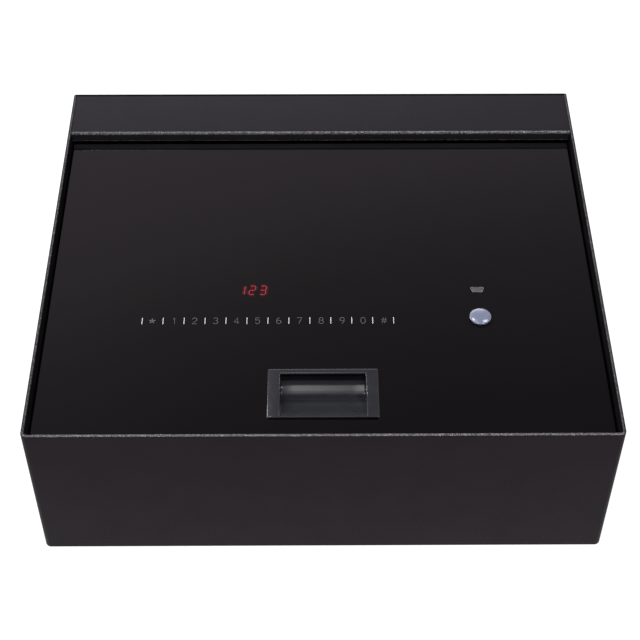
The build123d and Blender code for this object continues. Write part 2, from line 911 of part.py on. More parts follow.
def lock_cam():
    """Cam on the plug's tail; its upright pin drives the fork on the bolt bar."""
    turn = math.radians(cam_turn / 2)
    pin_x = lock_x + cam_throw * math.cos(turn)
    pin_y = lock_y + cam_throw * math.sin(turn)
    half = cam_width / 2
    arm = slab(lock_x, lock_x + cam_throw, lock_y - half, lock_y + half, cam_under, cam_top)
    arm = Pos(lock_x, lock_y, 0) * Rot(0, 0, cam_turn / 2) * Pos(-lock_x, -lock_y, 0) * arm
    cam = arm + round_z(lock_tail_radius + cam_hub_wall, cam_under, cam_top, lock_x, lock_y)
    cam += round_z(half, cam_under, cam_top, pin_x, pin_y)
    cam += round_z(cam_pin_radius, cam_under, fork_top, pin_x, pin_y)
    return cam - round_z(lock_tail_radius + press_gap, cam_under, cam_top, lock_x, lock_y)


# Bolts and drive

def rack_last():
    """Number of the tooth after the rack's last one."""
    return math.ceil(bolt_travel / tooth_pitch) + spare_teeth


def rack_teeth():
    """Teeth along the underside of the rack, with a space over the pinion at rest."""
    slope = math.tan(math.radians(pressure_angle))
    half = tooth_pitch / 4 - tooth_play / 4
    tip = bolt_z - tooth_tip * gear_module
    wide = half + (rack_root - bolt_z) * slope
    narrow = half - (bolt_z - tip) * slope
    bury = rack_root + tooth_bury
    teeth = []
    for index in range(-spare_teeth, rack_last()):
        y = gear_y + (index + 0.5) * tooth_pitch
        outline = [(y - wide, rack_root), (y - narrow, tip), (y + narrow, tip), (y + wide, rack_root),
                   (y + wide, bury), (y - wide, bury)]
        teeth.append(side_profile(outline, rack_x - rack_width / 2, rack_x + rack_width / 2))
    return teeth


def bolt_bar():
    """Bar that joins the bolts, with the rack and the fork for the lock cam."""
    reach = bolt_x + bar_overhang
    bar = slab(-reach, reach, bar_front, bar_back, bolt_z - bar_height / 2, bolt_z + bar_height / 2)
    rack_end = gear_y + (rack_last() + 0.5) * tooth_pitch
    bar += slab(rack_x - rack_width / 2, rack_x + rack_width / 2, bar_front, rack_end, rack_root,
                rack_top)
    for tooth in rack_teeth():
        bar += tooth
    fork = slab(fork_left, fork_right, bar_front, fork_slot_y + cam_pin_radius + fork_wall,
                fork_under, fork_top)
    slot_half = cam_pin_radius + cam_slot_gap
    fork -= slab(fork_left, lock_x + cam_throw + slot_half, fork_slot_y - slot_half,
                 fork_slot_y + slot_half, fork_under, fork_top)
    bar += fork
    for x in (-bolt_x, bolt_x):
        bar -= round_y(bolt_shank_radius + press_gap, bar_front, bar_back, x, bolt_z)
    return bar


def lock_bolt():
    """Right locking bolt, with a shank through the bar."""
    rod = round_y(bolt_radius, bolt_tip, bar_front, bolt_x, bolt_z)
    rod = chamfer(rod.edges().group_by(Axis.Y)[0], bolt_bevel)
    return rod + round_y(bolt_shank_radius, bar_front, bar_back + shank_tail, bolt_x, bolt_z)


def bolt_nut():
    """Nut behind the bar on the right bolt."""
    end = bar_back + bolt_nut_height
    outline = Plane.XZ * Pos(bolt_x, bolt_z) * RegularPolygon(bolt_nut_radius, 6)
    nut = Pos(0, end, 0) * extrude(outline, amount=bolt_nut_height)
    return nut - round_y(bolt_shank_radius + press_gap, bar_back, end, bolt_x, bolt_z)


def bolt_guide():
    """Right guide block that the bolt slides in."""
    block = slab(bolt_x - guide_width / 2, bolt_x + guide_width / 2, guide_front,
                 guide_front + guide_length, plate_under - guide_height, plate_under)
    block -= round_y(bolt_radius + running_gap, guide_front, guide_front + guide_length, bolt_x,
                     bolt_z)
    for x, y in guide_screw_places():
        block -= round_z(screw_radius + hole_gap, plate_under - guide_height, plate_under, x, y)
    return block


def drive_pinion():
    """Involute pinion that moves the rack; one tooth points straight up at rest."""
    base = gear_pitch_radius * math.cos(math.radians(pressure_angle))
    root = gear_pitch_radius - tooth_root * gear_module
    tip = gear_pitch_radius + tooth_tip * gear_module
    lean = math.tan(math.radians(pressure_angle)) - math.radians(pressure_angle)
    half = math.pi / 2 / gear_teeth - tooth_play / 4 / gear_pitch_radius
    flank = []
    for step in range(6):
        radius = base + (tip - base) * step / 5
        slant = math.acos(min(1.0, base / radius))
        flank.append((radius, half + lean - (math.tan(slant) - slant)))
    flank.insert(0, (root, flank[0][1]))
    points = []
    for index in range(gear_teeth):
        middle = math.pi / 2 + index * 2 * math.pi / gear_teeth
        side = [(radius, middle - angle) for radius, angle in flank]
        side += [(radius, middle + angle) for radius, angle in reversed(flank)]
        points += [(gear_y + radius * math.cos(angle), gear_z + radius * math.sin(angle))
                   for radius, angle in side]
    gear = side_profile(points, rack_x - gear_width / 2, rack_x + gear_width / 2)
    return gear - round_x(motor_shaft_radius + press_gap, rack_x - gear_width, rack_x + gear_width,
                          gear_y, gear_z)


def motor_shaft():
    """Output shaft of the geared motor, which the pinion is pressed on."""
    start = rack_x - gear_width / 2 - shaft_proud
    return round_x(motor_shaft_radius, start, motor_face() - slide_gap, gear_y, gear_z)


def motor_face():
    """Front face of the gearbox, against its bracket."""
    return rack_x + gear_width / 2 + pinion_gap + strap_sheet


def gear_motor():
    """Small geared motor lying along X."""
    x0 = motor_face()
    y0 = gear_y - motor_width / 2
    z0 = gear_z - motor_height / 2
    x1 = x0 + gearbox_length
    x2 = x1 + motor_length
    box = slab(x0, x1, y0, y0 + motor_width, z0, z0 + motor_height)
    can = round_x(motor_width / 2, x1, x2, gear_y, gear_z)
    return box + (can & slab(x1, x2, y0, y0 + motor_width, z0, z0 + motor_height))


def motor_bracket():
    """Angle that hangs the geared motor from the lid plate."""
    x1 = motor_face()
    x0 = x1 - strap_sheet
    y0 = gear_y - motor_width / 2 - motor_margin
    y1 = gear_y + motor_width / 2 + motor_margin
    upright = slab(x0, x1, y0, y1, gear_z - motor_height / 2, plate_under)
    foot = slab(x0, x0 + motor_foot, y0, y1, plate_under - strap_sheet, plate_under)
    hole = round_x(motor_shaft_radius + slide_gap, x0, x1, gear_y, gear_z)
    return upright + foot - hole


def lead(points):
    """An insulated lead along straight runs joined by arcs."""
    path = FilletPolyline(points, radius=lead_bend)
    start = Plane(origin=path @ 0, z_dir=path % 0)
    return sweep(start * Circle(lead_radius), path=path)


def wire_leads():
    """Leads from the battery box and from the motor to the main board."""
    x = battery_right + lead_out
    y = display_y - control_board_depth / 4
    z = battery_top - battery_wall - 2 * lead_radius
    battery = lead([(battery_right, y, z), (x, y, z), (x, y, control_under)])
    start_x = motor_face() + gearbox_length + motor_length
    x = start_x + lead_out
    end_x = display_x + control_board_width / 2 - lead_inset
    y = display_y + 3 * lead_radius
    motor = lead([(start_x, gear_y, gear_z), (x, gear_y, gear_z), (x, y, gear_z), (end_x, y, gear_z),
                  (end_x, y, control_under)])
    return [battery, motor]


# Battery box, inner cover and its doors

def battery_box():
    """Tray for the cells, open towards its door."""
    tray = slab(battery_left, battery_right, battery_front, battery_back, cover_floor, battery_top)
    return tray - slab(battery_left + battery_wall, battery_right - battery_wall,
                       battery_front + battery_wall, battery_back - battery_wall, cover_floor,
                       battery_top - battery_wall)


def cell_xs():
    """Places of the cells across the tray."""
    first = battery_left + battery_wall + cell_pitch / 2
    return [first + cell_pitch * index for index in range(cell_count)]


def cells():
    """Cells side by side, turned end for end in turn."""
    made = []
    middle = (battery_front + battery_back) / 2
    for index, x in enumerate(cell_xs()):
        way = 1 if index % 2 == 0 else -1
        can = round_y(cell_radius, middle - cell_length / 2, middle + cell_length / 2, x, cell_z)
        can = fillet(can.edges(), cell_edge)
        nub_end = middle + cell_length / 2 + cell_nub - contact_sheet
        nub = round_y(cell_nub_radius, middle, nub_end, x, cell_z)
        if way < 0:
            nub = Pos(0, 2 * middle, 0) * mirror(nub, about=Plane.XZ)
        made.append(can + nub)
    return made


def battery_contacts():
    """Contact plates at both ends of every cell."""
    half = contact_size / 2
    plates = []
    for x in cell_xs():
        for y in (battery_front + battery_wall, battery_back - battery_wall - contact_sheet):
            plates.append(slab(x - half, x + half, y, y + contact_sheet, cell_z - half, cell_z + half))
    return plates


def inner_cover():
    """Moulded cover over the lock works, with battery door rails and screw bosses."""
    half = cover_half_width
    shell = rounded_slab(-half, half, cover_front, cover_back, cover_under, plate_under,
                         cover_corner)
    shell = fillet(shell.edges().group_by(Axis.Z)[0], cover_round)
    shell -= rounded_slab(-half + cover_wall, half - cover_wall, cover_front + cover_wall,
                          cover_back - cover_wall, cover_floor, plate_under,
                          cover_corner - cover_wall)
    for x, y in boss_places():
        for boss in both_sides(round_z(boss_radius, cover_floor, plate_under, x, y)):
            shell += boss
    rail_front = battery_front - door_margin
    door_left = battery_left - door_margin
    door_right = battery_right + door_margin
    lip = rail_sheet + slide_gap + rail_lip
    for edge, way in ((door_left - slide_gap, -1), (door_right + slide_gap, 1)):
        wall = sorted((edge, edge + way * rail_sheet))
        foot = sorted((edge - way * rail_lip, edge + way * rail_sheet))
        shell += slab(wall[0], wall[1], rail_front, battery_back, rail_under, cover_floor)
        shell += slab(foot[0], foot[1], rail_front, battery_back, rail_under,
                      rail_under + rail_sheet)
    shell += slab(door_left - lip, door_right + lip, rail_front - slide_gap - rail_sheet,
                  rail_front - slide_gap, door_under, cover_floor)
    shell -= slab(battery_left + battery_wall, battery_right - battery_wall,
                  battery_front + battery_wall, battery_back - battery_wall, cover_under,
                  cover_floor)
    shell -= round_z(button_radius + slide_gap, cover_under, cover_floor, button_x, button_y)
    for x in (-bolt_x, bolt_x):
        shell -= round_y(bolt_radius + strike_hole_gap, cover_front, cover_front + cover_wall, x,
                         bolt_z)
    for x, y in boss_places():
        sink = round_z(screw_head_radius + slide_gap, cover_under, cover_under + screw_head, x, y)
        drill = round_z(screw_radius + hole_gap, cover_under, plate_under, x, y)
        for cut in both_sides(sink) + both_sides(drill):
            shell -= cut
    return shell


def cover_screws():
    """Screws that hold the inner cover to the lid plate."""
    screws = []
    for x, y in boss_places():
        screws += both_sides(screw_up(x, y, cover_under + screw_head, screw_tip))
    return screws


def battery_cover():
    """Door that slides in the rails under the cells, with a ribbed thumb grip."""
    left = battery_left - door_margin
    right = battery_right + door_margin
    door = slab(left, right, battery_front - door_margin, battery_back + door_margin, door_under,
                door_top)
    middle = (left + right) / 2
    for index in range(grip_count):
        y = battery_back - grip_inset - grip_pitch * index
        door += slab(middle - grip_width / 2, middle + grip_width / 2, y, y + grip_rib,
                     door_under - grip_height, door_under)
    return door


def reset_button():
    """Push button in the inner cover, under the switch on the main board."""
    bottom = cover_under - button_proud
    top = control_under - switch_height - button_travel - slide_gap
    stem = round_z(button_radius, bottom, top, button_x, button_y)
    collar = cover_floor + collar_gap
    return stem + round_z(button_radius + collar_reach, collar, collar + collar_thickness, button_x,
                          button_y)


# Hinge arm, upper strut bracket and struts

def polar(radius, angle):
    """A (y, z) point round the hinge; 0 points forwards and 90 straight up."""
    turn = math.radians(angle)
    return (hinge_y - radius * math.cos(turn), hinge_z + radius * math.sin(turn))


def hinge_arm():
    """Right swan-neck arm that swings the lid clear of the strip's front edge."""
    ring = Circle(band_outer) - Circle(band_inner)
    ring = Pos(hinge_y, hinge_z) * ring
    far = 3 * band_outer
    last = arm_neck_angle - arm_band_overlap
    wedge = make_face(Polyline([(hinge_y, hinge_z), polar(far, arm_band_front_angle),
                                polar(far, (arm_band_front_angle + last) / 2), polar(far, last)],
                               close=True))
    sweep_band = ring & wedge
    length = (band_inner + band_outer) / 2
    neck = Pos(hinge_y, hinge_z) * Rot(0, 0, 180 - arm_neck_angle) * Pos(length / 2, 0)
    neck = neck * Rectangle(length, arm_width)
    bar_start = hinge_y - arm_reach
    bar_end = glass_back + arm_tail
    bar = Pos((bar_start + bar_end) / 2, plate_under - arm_width / 2)
    bar = bar * Rectangle(bar_end - bar_start, arm_width)
    outline = sweep_band + neck + bar + Pos(hinge_y, hinge_z) * Circle(knuckle_radius)
    arm = extrude(Plane.YZ * outline, amount=arm_thickness / 2, both=True)
    arm = Pos(arm_x, 0, 0) * arm
    arm += slab(arm_x + arm_thickness / 2 - arm_foot_width, arm_x, bar_start,
                bar_start + arm_foot_length, plate_under - arm_foot_thickness, plate_under)
    arm -= round_x(pin_radius + running_gap, arm_x - arm_thickness, arm_x + arm_thickness, hinge_y,
                   hinge_z)
    for x, y in arm_screw_places():
        arm -= round_z(screw_radius + hole_gap, plate_under - arm_foot_thickness, plate_under, x, y)
    return arm


def lid_strut_bracket():
    """Right upper strut bracket: an ear and a foot under the lid plate."""
    outer = strut_x - eye_width / 2 - strut_play
    inner = outer - strut_plate
    y0 = lid_pivot_y - strut_ear_length / 2
    y1 = lid_pivot_y + strut_ear_length / 2
    ear = slab(inner, outer, y0, y1, lid_pivot_z - strut_ear_below, plate_under)
    ear = fillet(ear.edges().filter_by(Axis.X).group_by(Axis.Z)[0], strut_plate_round)
    bracket = ear + slab(inner - strut_foot_width, inner, y0, y1, plate_under - strap_sheet,
                         plate_under)
    bracket -= round_x(strut_pin_radius + press_gap, inner, outer, lid_pivot_y, lid_pivot_z)
    for x, y in strut_screw_places():
        bracket -= round_z(screw_radius + hole_gap, plate_under - strap_sheet, plate_under, x, y)
    return bracket


def lid_strut_pin():
    """Headed pin that carries the upper eye of the right strut."""
    inner = strut_x - eye_width / 2 - strut_play - strut_plate
    head = strut_x + eye_width / 2 + strut_play
    pin = round_x(strut_pin_radius, inner, head + strut_pin_head, lid_pivot_y, lid_pivot_z)
    return pin + round_x(strut_pin_head_radius, head, head + strut_pin_head, lid_pivot_y,
                         lid_pivot_z)


def strut_eye(z):
    """Eye across the strut, before it is bored."""
    return Pos(0, 0, z) * Rot(0, 90, 0) * Cylinder(eye_radius, eye_width)


def eye_bore(z):
    """Running bore of an eye."""
    return Pos(0, 0, z) * Rot(0, 90, 0) * Cylinder(strut_pin_radius + running_gap, 2 * eye_width)


def place_strut(shape):
    """Moves a strut piece, built upwards from its lower eye, to the right side of the case."""
    return Pos(strut_x, foot_pivot_y, strut_foot_height) * Rot(strut_lean, 0, 0) * shape


def strut_tube():
    """Cylinder of the right strut, with its lower eye and its rod guide."""
    body = Pos(0, 0, (tube_start + tube_end) / 2) * Cylinder(tube_radius, tube_end - tube_start)
    body = fillet(body.edges().group_by(Axis.Z)[0], tube_round)
    neck_start = (strut_pin_radius + eye_radius) / 2
    neck_end = tube_start + tube_cap / 2
    neck = Pos(0, 0, (neck_start + neck_end) / 2) * Cylinder(neck_radius, neck_end - neck_start)
    tube = body + neck + strut_eye(0)
    hollow_start = tube_start + tube_cap
    hollow_end = tube_end - tube_cap
    tube -= Pos(0, 0, (hollow_start + hollow_end) / 2) * Cylinder(tube_bore,
                                                                  hollow_end - hollow_start)
    tube -= Pos(0, 0, tube_end) * Cylinder(rod_radius + slide_gap, 4 * tube_cap)
    return place_strut(tube - eye_bore(0))


def strut_rod():
    """Piston rod of the right strut, with its piston and its upper eye."""
    middle = (piston_start + strut_closed) / 2
    rod = Pos(0, 0, middle) * Cylinder(rod_radius, strut_closed - piston_start)
    piston = Pos(0, 0, piston_start + piston_thickness / 2)
    piston = piston * Cylinder(tube_bore - slide_gap, piston_thickness)
    return place_strut(rod + piston + strut_eye(strut_closed) - eye_bore(strut_closed))


# Pieces that come as a left and right pair: one shape, mirrored
paired = {"hinge_bracket": hinge_bracket, "strut_bracket": strut_bracket, "hinge_arm": hinge_arm,
          "lid_strut_bracket": lid_strut_bracket, "bolt_guide": bolt_guide, "lock_bolt": lock_bolt,
          "strut_tube": strut_tube, "strut_rod": strut_rod}

# Small pieces that share one file as a left and right group
grouped = {"hinge_pins": hinge_pin, "hinge_clips": hinge_clip, "foot_strut_pins": foot_strut_pin,
           "lid_strut_pins": lid_strut_pin, "bolt_nuts": bolt_nut}

# Single pieces and groups that place themselves
single = [body_wrap, base_plate, floor_mat, rear_cover_strip, strike_angle, lid_stop_pads,
          glass_panel, glass_tape, lid_plate, handle_cup, handle_strap, lid_screws, keypad_board,
          display_module, control_board, board_spacers, buzzer, power_port, port_board, lock_bezel,
          keyhole_cap, lock_cylinder, lock_nut, lock_plug, lock_cam, bolt_bar, drive_pinion,
          motor_shaft, gear_motor, motor_bracket, wire_leads, battery_box, cells,
          battery_contacts, inner_cover, cover_screws, battery_cover, reset_button]


def write_piece(name, shape):
    """Writes one piece, or one group of pieces, to its own file."""
    whole = Compound(shape) if isinstance(shape, list) else shape
    export_step(whole, f"parts/{name}.step")


os.makedirs("parts", exist_ok=True)
for make in single:
    write_piece(make.__name__, make())
for name, make in paired.items():
    right, left = both_sides(make())
    write_piece(name + "_right", right)
    write_piece(name + "_left", left)
for name, make in grouped.items():
    write_piece(name, both_sides(make()))
print("strut closed", round(strut_closed, 2), "stroke", round(strut_stroke, 2), "tube end",
      round(tube_end, 2))
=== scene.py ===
import bpy
import bmesh
import json
import math
import numpy as np
from mathutils import Matrix


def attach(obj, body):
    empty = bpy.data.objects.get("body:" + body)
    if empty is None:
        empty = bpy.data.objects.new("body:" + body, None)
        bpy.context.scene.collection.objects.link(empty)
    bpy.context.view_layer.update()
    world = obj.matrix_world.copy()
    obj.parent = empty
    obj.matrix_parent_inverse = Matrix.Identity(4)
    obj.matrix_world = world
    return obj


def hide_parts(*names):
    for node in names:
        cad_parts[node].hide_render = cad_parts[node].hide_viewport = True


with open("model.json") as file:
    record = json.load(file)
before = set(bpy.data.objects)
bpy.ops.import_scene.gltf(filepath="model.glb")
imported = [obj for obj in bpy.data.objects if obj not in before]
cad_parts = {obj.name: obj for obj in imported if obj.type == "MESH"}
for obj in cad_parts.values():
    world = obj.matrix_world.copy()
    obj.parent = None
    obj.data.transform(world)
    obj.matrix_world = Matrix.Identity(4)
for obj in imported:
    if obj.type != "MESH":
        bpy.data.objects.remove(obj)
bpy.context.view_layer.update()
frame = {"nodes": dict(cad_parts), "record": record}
nodes = frame["nodes"]
mm = 0.001
near = 0.05  # mm: a face this near to a plane counts as lying on it
tiny = 1e-6  # keeps a division away from zero
print("frame loaded:", len(nodes), "nodes")


# Place, lens and sensor in mm, angles in degrees, nearest and furthest in metres
camera = {"place": (-7.11, -778.91, 917.52), "down": 48.102, "toRight": 0.43, "roll": 0.139, "lens": 84.66,
          "sensor": 36, "nearest": 0.01, "furthest": 50}
# The studio is in metres
studio = {
    "floorColour": (0.15, 0.15, 0.15), "floorSize": 40.0, "floorLift": 0.91,
    # Sky brightness along the direction skyLean: a pale wall low behind, dim overhead
    "skyLean": (0.2, 0.0, 1.0), "skyTint": (1.06, 0.92, 1.03),
    "sky": [(0.0, 0.60), (0.60, 0.50), (0.655, 0.46), (0.69, 0.40), (0.727, 0.28), (0.765, 0.20),
            (0.803, 0.138), (0.9, 0.10)],
    # The room is darker in front: share of the sky's brightness at these values of y
    "frontShade": ((-0.35, 0.3), (0.25, 1.0)),
    # Soft boxes: place, aim, width and length, brightness
    "boxes": {
        "overhead": ((-0.52, -0.85, 1.9), (-0.52, -0.85, 0.0), (1.12, 1.7), 3.0),
        "overheadRear": ((-0.52, 0.35, 1.9), (-0.52, 0.35, 0.0), (1.12, 0.7), 1.3),
        "leftBox": ((-1.35, 0.75, 0.9), (0, 0, 0.1), (0.4, 0.35), 32.0),
        "rightBox": ((0.8, 0.5, 1.9), (0, 0, 0.1), (0.5, 0.5), 9.0),
        "rightFront": ((0.62, -0.8, 1.7), (0.1, 0, 0.1), (0.4, 0.35), 30.0),
        "capBox": ((-0.46, 0.78, 1.85), (0.11, -0.06, 0.12), (0.13, 0.13), 75.0),
        "backBox": ((-0.15, 2.3, 1.05), (0, 0, 0.1), (1.8, 0.8), 2.0),
    },
}


def addObject(name, data):
    thing = bpy.data.objects.new(name, data)
    bpy.context.scene.collection.objects.link(thing)
    return thing


def makeCamera():
    # Its right, up and back axes come from the tilt, the swing and the roll
    down, swing, roll = (math.radians(camera[k]) for k in ("down", "toRight", "roll"))
    ahead = np.array([math.sin(swing) * math.cos(down), math.cos(swing) * math.cos(down), -math.sin(down)])
    right = np.array([math.cos(swing), -math.sin(swing), 0.0])
    up = np.cross(right, ahead)
    axes = np.eye(4)
    axes[:3, 0] = right * math.cos(roll) + up * math.sin(roll)
    axes[:3, 1] = up * math.cos(roll) - right * math.sin(roll)
    axes[:3, 2] = -ahead
    axes[:3, 3] = np.array(camera["place"]) * mm
    data = bpy.data.cameras.new("photoCamera")
    data.lens = camera["lens"]
    data.sensor_width = camera["sensor"]
    data.clip_start = camera["nearest"]
    data.clip_end = camera["furthest"]
    thing = addObject("photoCamera", data)
    thing.matrix_world = Matrix(axes.tolist())
    bpy.context.scene.camera = thing


def fillRamp(made, stops):
    # stops: (position, colour) pairs
    elements = made.color_ramp.elements
    while len(elements) < len(stops):
        elements.new(0.5)
    for element, (position, colour) in zip(elements, stops):
        element.position = position
        element.color = (*colour, 1)


def fillRange(made, low, high):
    # A straight line through two (value, result) pairs
    for end, (value, result) in (("Min", low), ("Max", high)):
        made.inputs["From " + end].default_value = value
        made.inputs["To " + end].default_value = result


def makeSky():
    # Brightness is a ramp along skyLean, scaled by how far the direction points to the front
    world = bpy.data.worlds.new("studio")
    bpy.context.scene.world = world
    world.use_nodes = True
    tree = world.node_tree
    where = tree.nodes.new("ShaderNodeTexCoord")
    lean = tree.nodes.new("ShaderNodeVectorMath")
    lean.operation = "DOT_PRODUCT"
    lean.inputs[1].default_value = studio["skyLean"]
    ramp = tree.nodes.new("ShaderNodeValToRGB")
    # The lowest stop stays neutral, and the others are tinted
    fillRamp(ramp, [(position, [bright * (tint if position else 1.0) for tint in studio["skyTint"]])
                    for position, bright in studio["sky"]])
    split = tree.nodes.new("ShaderNodeSeparateXYZ")
    shade = tree.nodes.new("ShaderNodeMapRange")
    fillRange(shade, *studio["frontShade"])
    mixed = tree.nodes.new("ShaderNodeVectorMath")
    mixed.operation = "SCALE"
    tree.links.new(where.outputs["Generated"], lean.inputs[0])
    tree.links.new(lean.outputs["Value"], ramp.inputs[0])
    tree.links.new(where.outputs["Generated"], split.inputs[0])
    tree.links.new(split.outputs["Y"], shade.inputs["Value"])
    tree.links.new(ramp.outputs[0], mixed.inputs[0])
    tree.links.new(shade.outputs[0], mixed.inputs["Scale"])
    tree.links.new(mixed.outputs[0], tree.nodes["Background"].inputs["Color"])


def lookAxes(away):
    # Axes of a light whose back points along away; one that looks straight down has its right along X
    back = away / np.linalg.norm(away)
    right = np.cross((0.0, 0.0, 1.0), back)
    reach = np.linalg.norm(right)
    right = right / reach if reach > tiny else np.array([1.0, 0.0, 0.0])
    return np.stack([right, np.cross(back, right), back], axis=1).tolist()


def makeBoxes():
    for name, (place, aim, (width, length), bright) in studio["boxes"].items():
        light = bpy.data.lights.new(name, "AREA")
        light.shape = "RECTANGLE"
        light.size, light.size_y = width, length
        # A box's brightness is its power over four times its area
        light.energy = 4 * bright * width * length
        thing = addObject(name, light)
        thing.location = place
        thing.rotation_euler = Matrix(lookAxes(np.array(place) - np.array(aim))).to_euler()


def makeFloor():
    half = studio["floorSize"] / 2
    corners = [(-half, -half, 0), (half, -half, 0), (half, half, 0), (-half, half, 0)]
    mesh = bpy.data.meshes.new("floor")
    mesh.from_pydata(corners, [], [(0, 1, 2, 3)])
    mesh.materials.append(floorMaterial())
    addObject("floor", mesh)


colourSpan = (0.35, 0.65)  # the noise values between which a colour drifts
roughSpan = (0.3, 0.7)  # and those between which roughness does


class Finish:
    # A principled material with its pattern on Object coordinates

    def __init__(self, name, colour, roughness, metallic=0.0, stretch=(1, 1, 1)):
        self.material = bpy.data.materials.new(name)
        self.material.use_nodes = True
        self.tree = self.material.node_tree
        self.shader = self.tree.nodes["Principled BSDF"]
        self.colour = colour
        self.shader.inputs["Base Color"].default_value = (*colour, 1)
        self.shader.inputs["Roughness"].default_value = roughness
        self.shader.inputs["Metallic"].default_value = metallic
        where = self.node("ShaderNodeTexCoord")
        self.place = self.node("ShaderNodeMapping")
        self.place.inputs["Scale"].default_value = stretch
        self.join(where.outputs["Object"], self.place.inputs["Vector"])
        self.normal = None

    def node(self, kind):
        return self.tree.nodes.new(kind)

    def join(self, a, b):
        self.tree.links.new(a, b)

    def noise(self, scale, detail=2.0):
        made = self.node("ShaderNodeTexNoise")
        made.inputs["Scale"].default_value = scale
        made.inputs["Detail"].default_value = detail
        self.join(self.place.outputs[0], made.inputs["Vector"])
        return made.outputs["Fac"]

    def paint(self, value, stops):
        # The colour follows a value through (position, colour) stops
        made = self.node("ShaderNodeValToRGB")
        fillRamp(made, stops)
        self.join(value, made.inputs[0])
        self.join(made.outputs["Color"], self.shader.inputs["Base Color"])
        return self

    def mottle(self, scale, share, detail=2.0):
        # The colour drifts a share to both sides of its own value
        low = [c * (1 - share) for c in self.colour]
        high = [min(1.0, c * (1 + share)) for c in self.colour]
        return self.paint(self.noise(scale, detail), list(zip(colourSpan, (low, high))))

    def roughen(self, scale, low, high):
        made = self.node("ShaderNodeMapRange")
        fillRange(made, (roughSpan[0], low), (roughSpan[1], high))
        self.join(self.noise(scale, 3.0), made.inputs["Value"])
        self.join(made.outputs[0], self.shader.inputs["Roughness"])
        return self

    def grain(self, scale, depth, detail=2.0):
        # A bump of this depth in metres, on top of the grain before it
        made = self.node("ShaderNodeBump")
        made.inputs["Strength"].default_value = 1.0
        made.inputs["Distance"].default_value = depth
        self.join(self.noise(scale, detail), made.inputs["Height"])
        if self.normal is not None:
            self.join(self.normal, made.inputs["Normal"])
        self.normal = made.outputs["Normal"]
        self.join(self.normal, self.shader.inputs["Normal"])
        return self

    def set(self, **values):
        for key, value in values.items():
            self.shader.inputs[key.replace("_", " ")].default_value = value
        return self


def powderCoat(name, colour, gloss, grain=900, depth=0.00005, rough=(0.42, 0.58)):
    # Fine orange-peel grain; gloss is the specular level
    finish = Finish(name, colour, 0.5).mottle(35, 0.10)
    finish.roughen(grain * 0.8, *rough).grain(grain, depth, 3.0)
    return finish.set(Specular_IOR_Level=gloss).material


# Colours of a painted highlight in speckles, from the paint's own dark to a bright glint
glintStops = [(0.38, (0.020, 0.018, 0.021)), (0.52, (0.047, 0.044, 0.050)), (0.66, (0.17, 0.163, 0.178))]


def paintedGlints(name, share, gloss):
    # Painted highlight in coarse speckled grains; share scales its colours, so a lower share paints less
    # light
    finish = Finish(name, (0.05, 0.047, 0.053), 0.3)
    finish.paint(finish.noise(1350, 1.0), [(at, [c * share for c in colour]) for at, colour in glintStops])
    return finish.roughen(900, 0.2, 0.34).grain(700, 0.0006, 1.0).set(Specular_IOR_Level=gloss).material


def satinCap():
    # Pale blue-grey lacquer with a satin gloss
    finish = Finish("satinCap", (0.132, 0.150, 0.214), 0.3).mottle(220, 0.03)
    return finish.roughen(300, 0.17, 0.22).grain(1200, 0.000003).set(Specular_IOR_Level=0.8).material


def blackGlass():
    # Polished glass over black enamel, with the faint roller wave of toughened glass
    finish = Finish("blackGlass", (0.0010, 0.0009, 0.0010), 0.03).mottle(6, 0.15)
    return finish.roughen(260, 0.025, 0.05).grain(9, 0.00002, 1.0).set(IOR=1.5).material


def mouldedPlastic(name, colour, rough=(0.32, 0.46), grain=2600, depth=0.00004):
    finish = Finish(name, colour, 0.4).mottle(60, 0.07)
    return finish.roughen(400, *rough).grain(grain, depth).material


def platedSteel(name, colour, rough=(0.22, 0.36), stretch=(1, 1, 1), scale=500, depth=0.00001):
    finish = Finish(name, colour, 0.3, 1.0, stretch).mottle(90, 0.08)
    return finish.roughen(scale, *rough).grain(scale * 2, depth).material


def floorMaterial():
    # A little light of its own keeps the floor white where the safe shades it
    finish = Finish("paleFloor", studio["floorColour"], 0.75).mottle(3, 0.01)
    return finish.set(Emission_Color=(1, 1, 1, 1), Emission_Strength=studio["floorLift"]).material


def matFelt():
    # Short fibres: a fine grain and a slower one
    finish = Finish("matFelt", (0.020, 0.020, 0.023), 0.95).mottle(700, 0.45, 4.0)
    return finish.grain(1500, 0.0005, 4.0).grain(260, 0.0003).set(Sheen_Weight=0.35).material


def circuitBoard():
    # Copper runs under green mask: a brick pattern gives the runs and pads
    finish = Finish("circuitBoard", (0.012, 0.10, 0.045), 0.3)
    brick = finish.node("ShaderNodeTexBrick")
    for key, value in (("Scale", 130), ("Mortar Size", 0.06), ("Color1", (0.010, 0.085, 0.038, 1)),
                       ("Color2", (0.014, 0.115, 0.050, 1)), ("Mortar", (0.03, 0.20, 0.09, 1))):
        brick.inputs[key].default_value = value
    finish.join(finish.place.outputs[0], brick.inputs["Vector"])
    finish.join(brick.outputs["Color"], finish.shader.inputs["Base Color"])
    return finish.grain(900, 0.00003).material


def printInk(name, colour):
    return Finish(name, colour, 0.45).mottle(900, 0.12).grain(2500, 0.00001).material


def litPrint(name, colour):
    # Dark gloss that shines in this colour by itself
    finish = Finish(name, (0.002, 0.001, 0.001), 0.06).grain(2000, 0.000002)
    return finish.set(Emission_Color=(*colour, 1), Emission_Strength=1.0).material


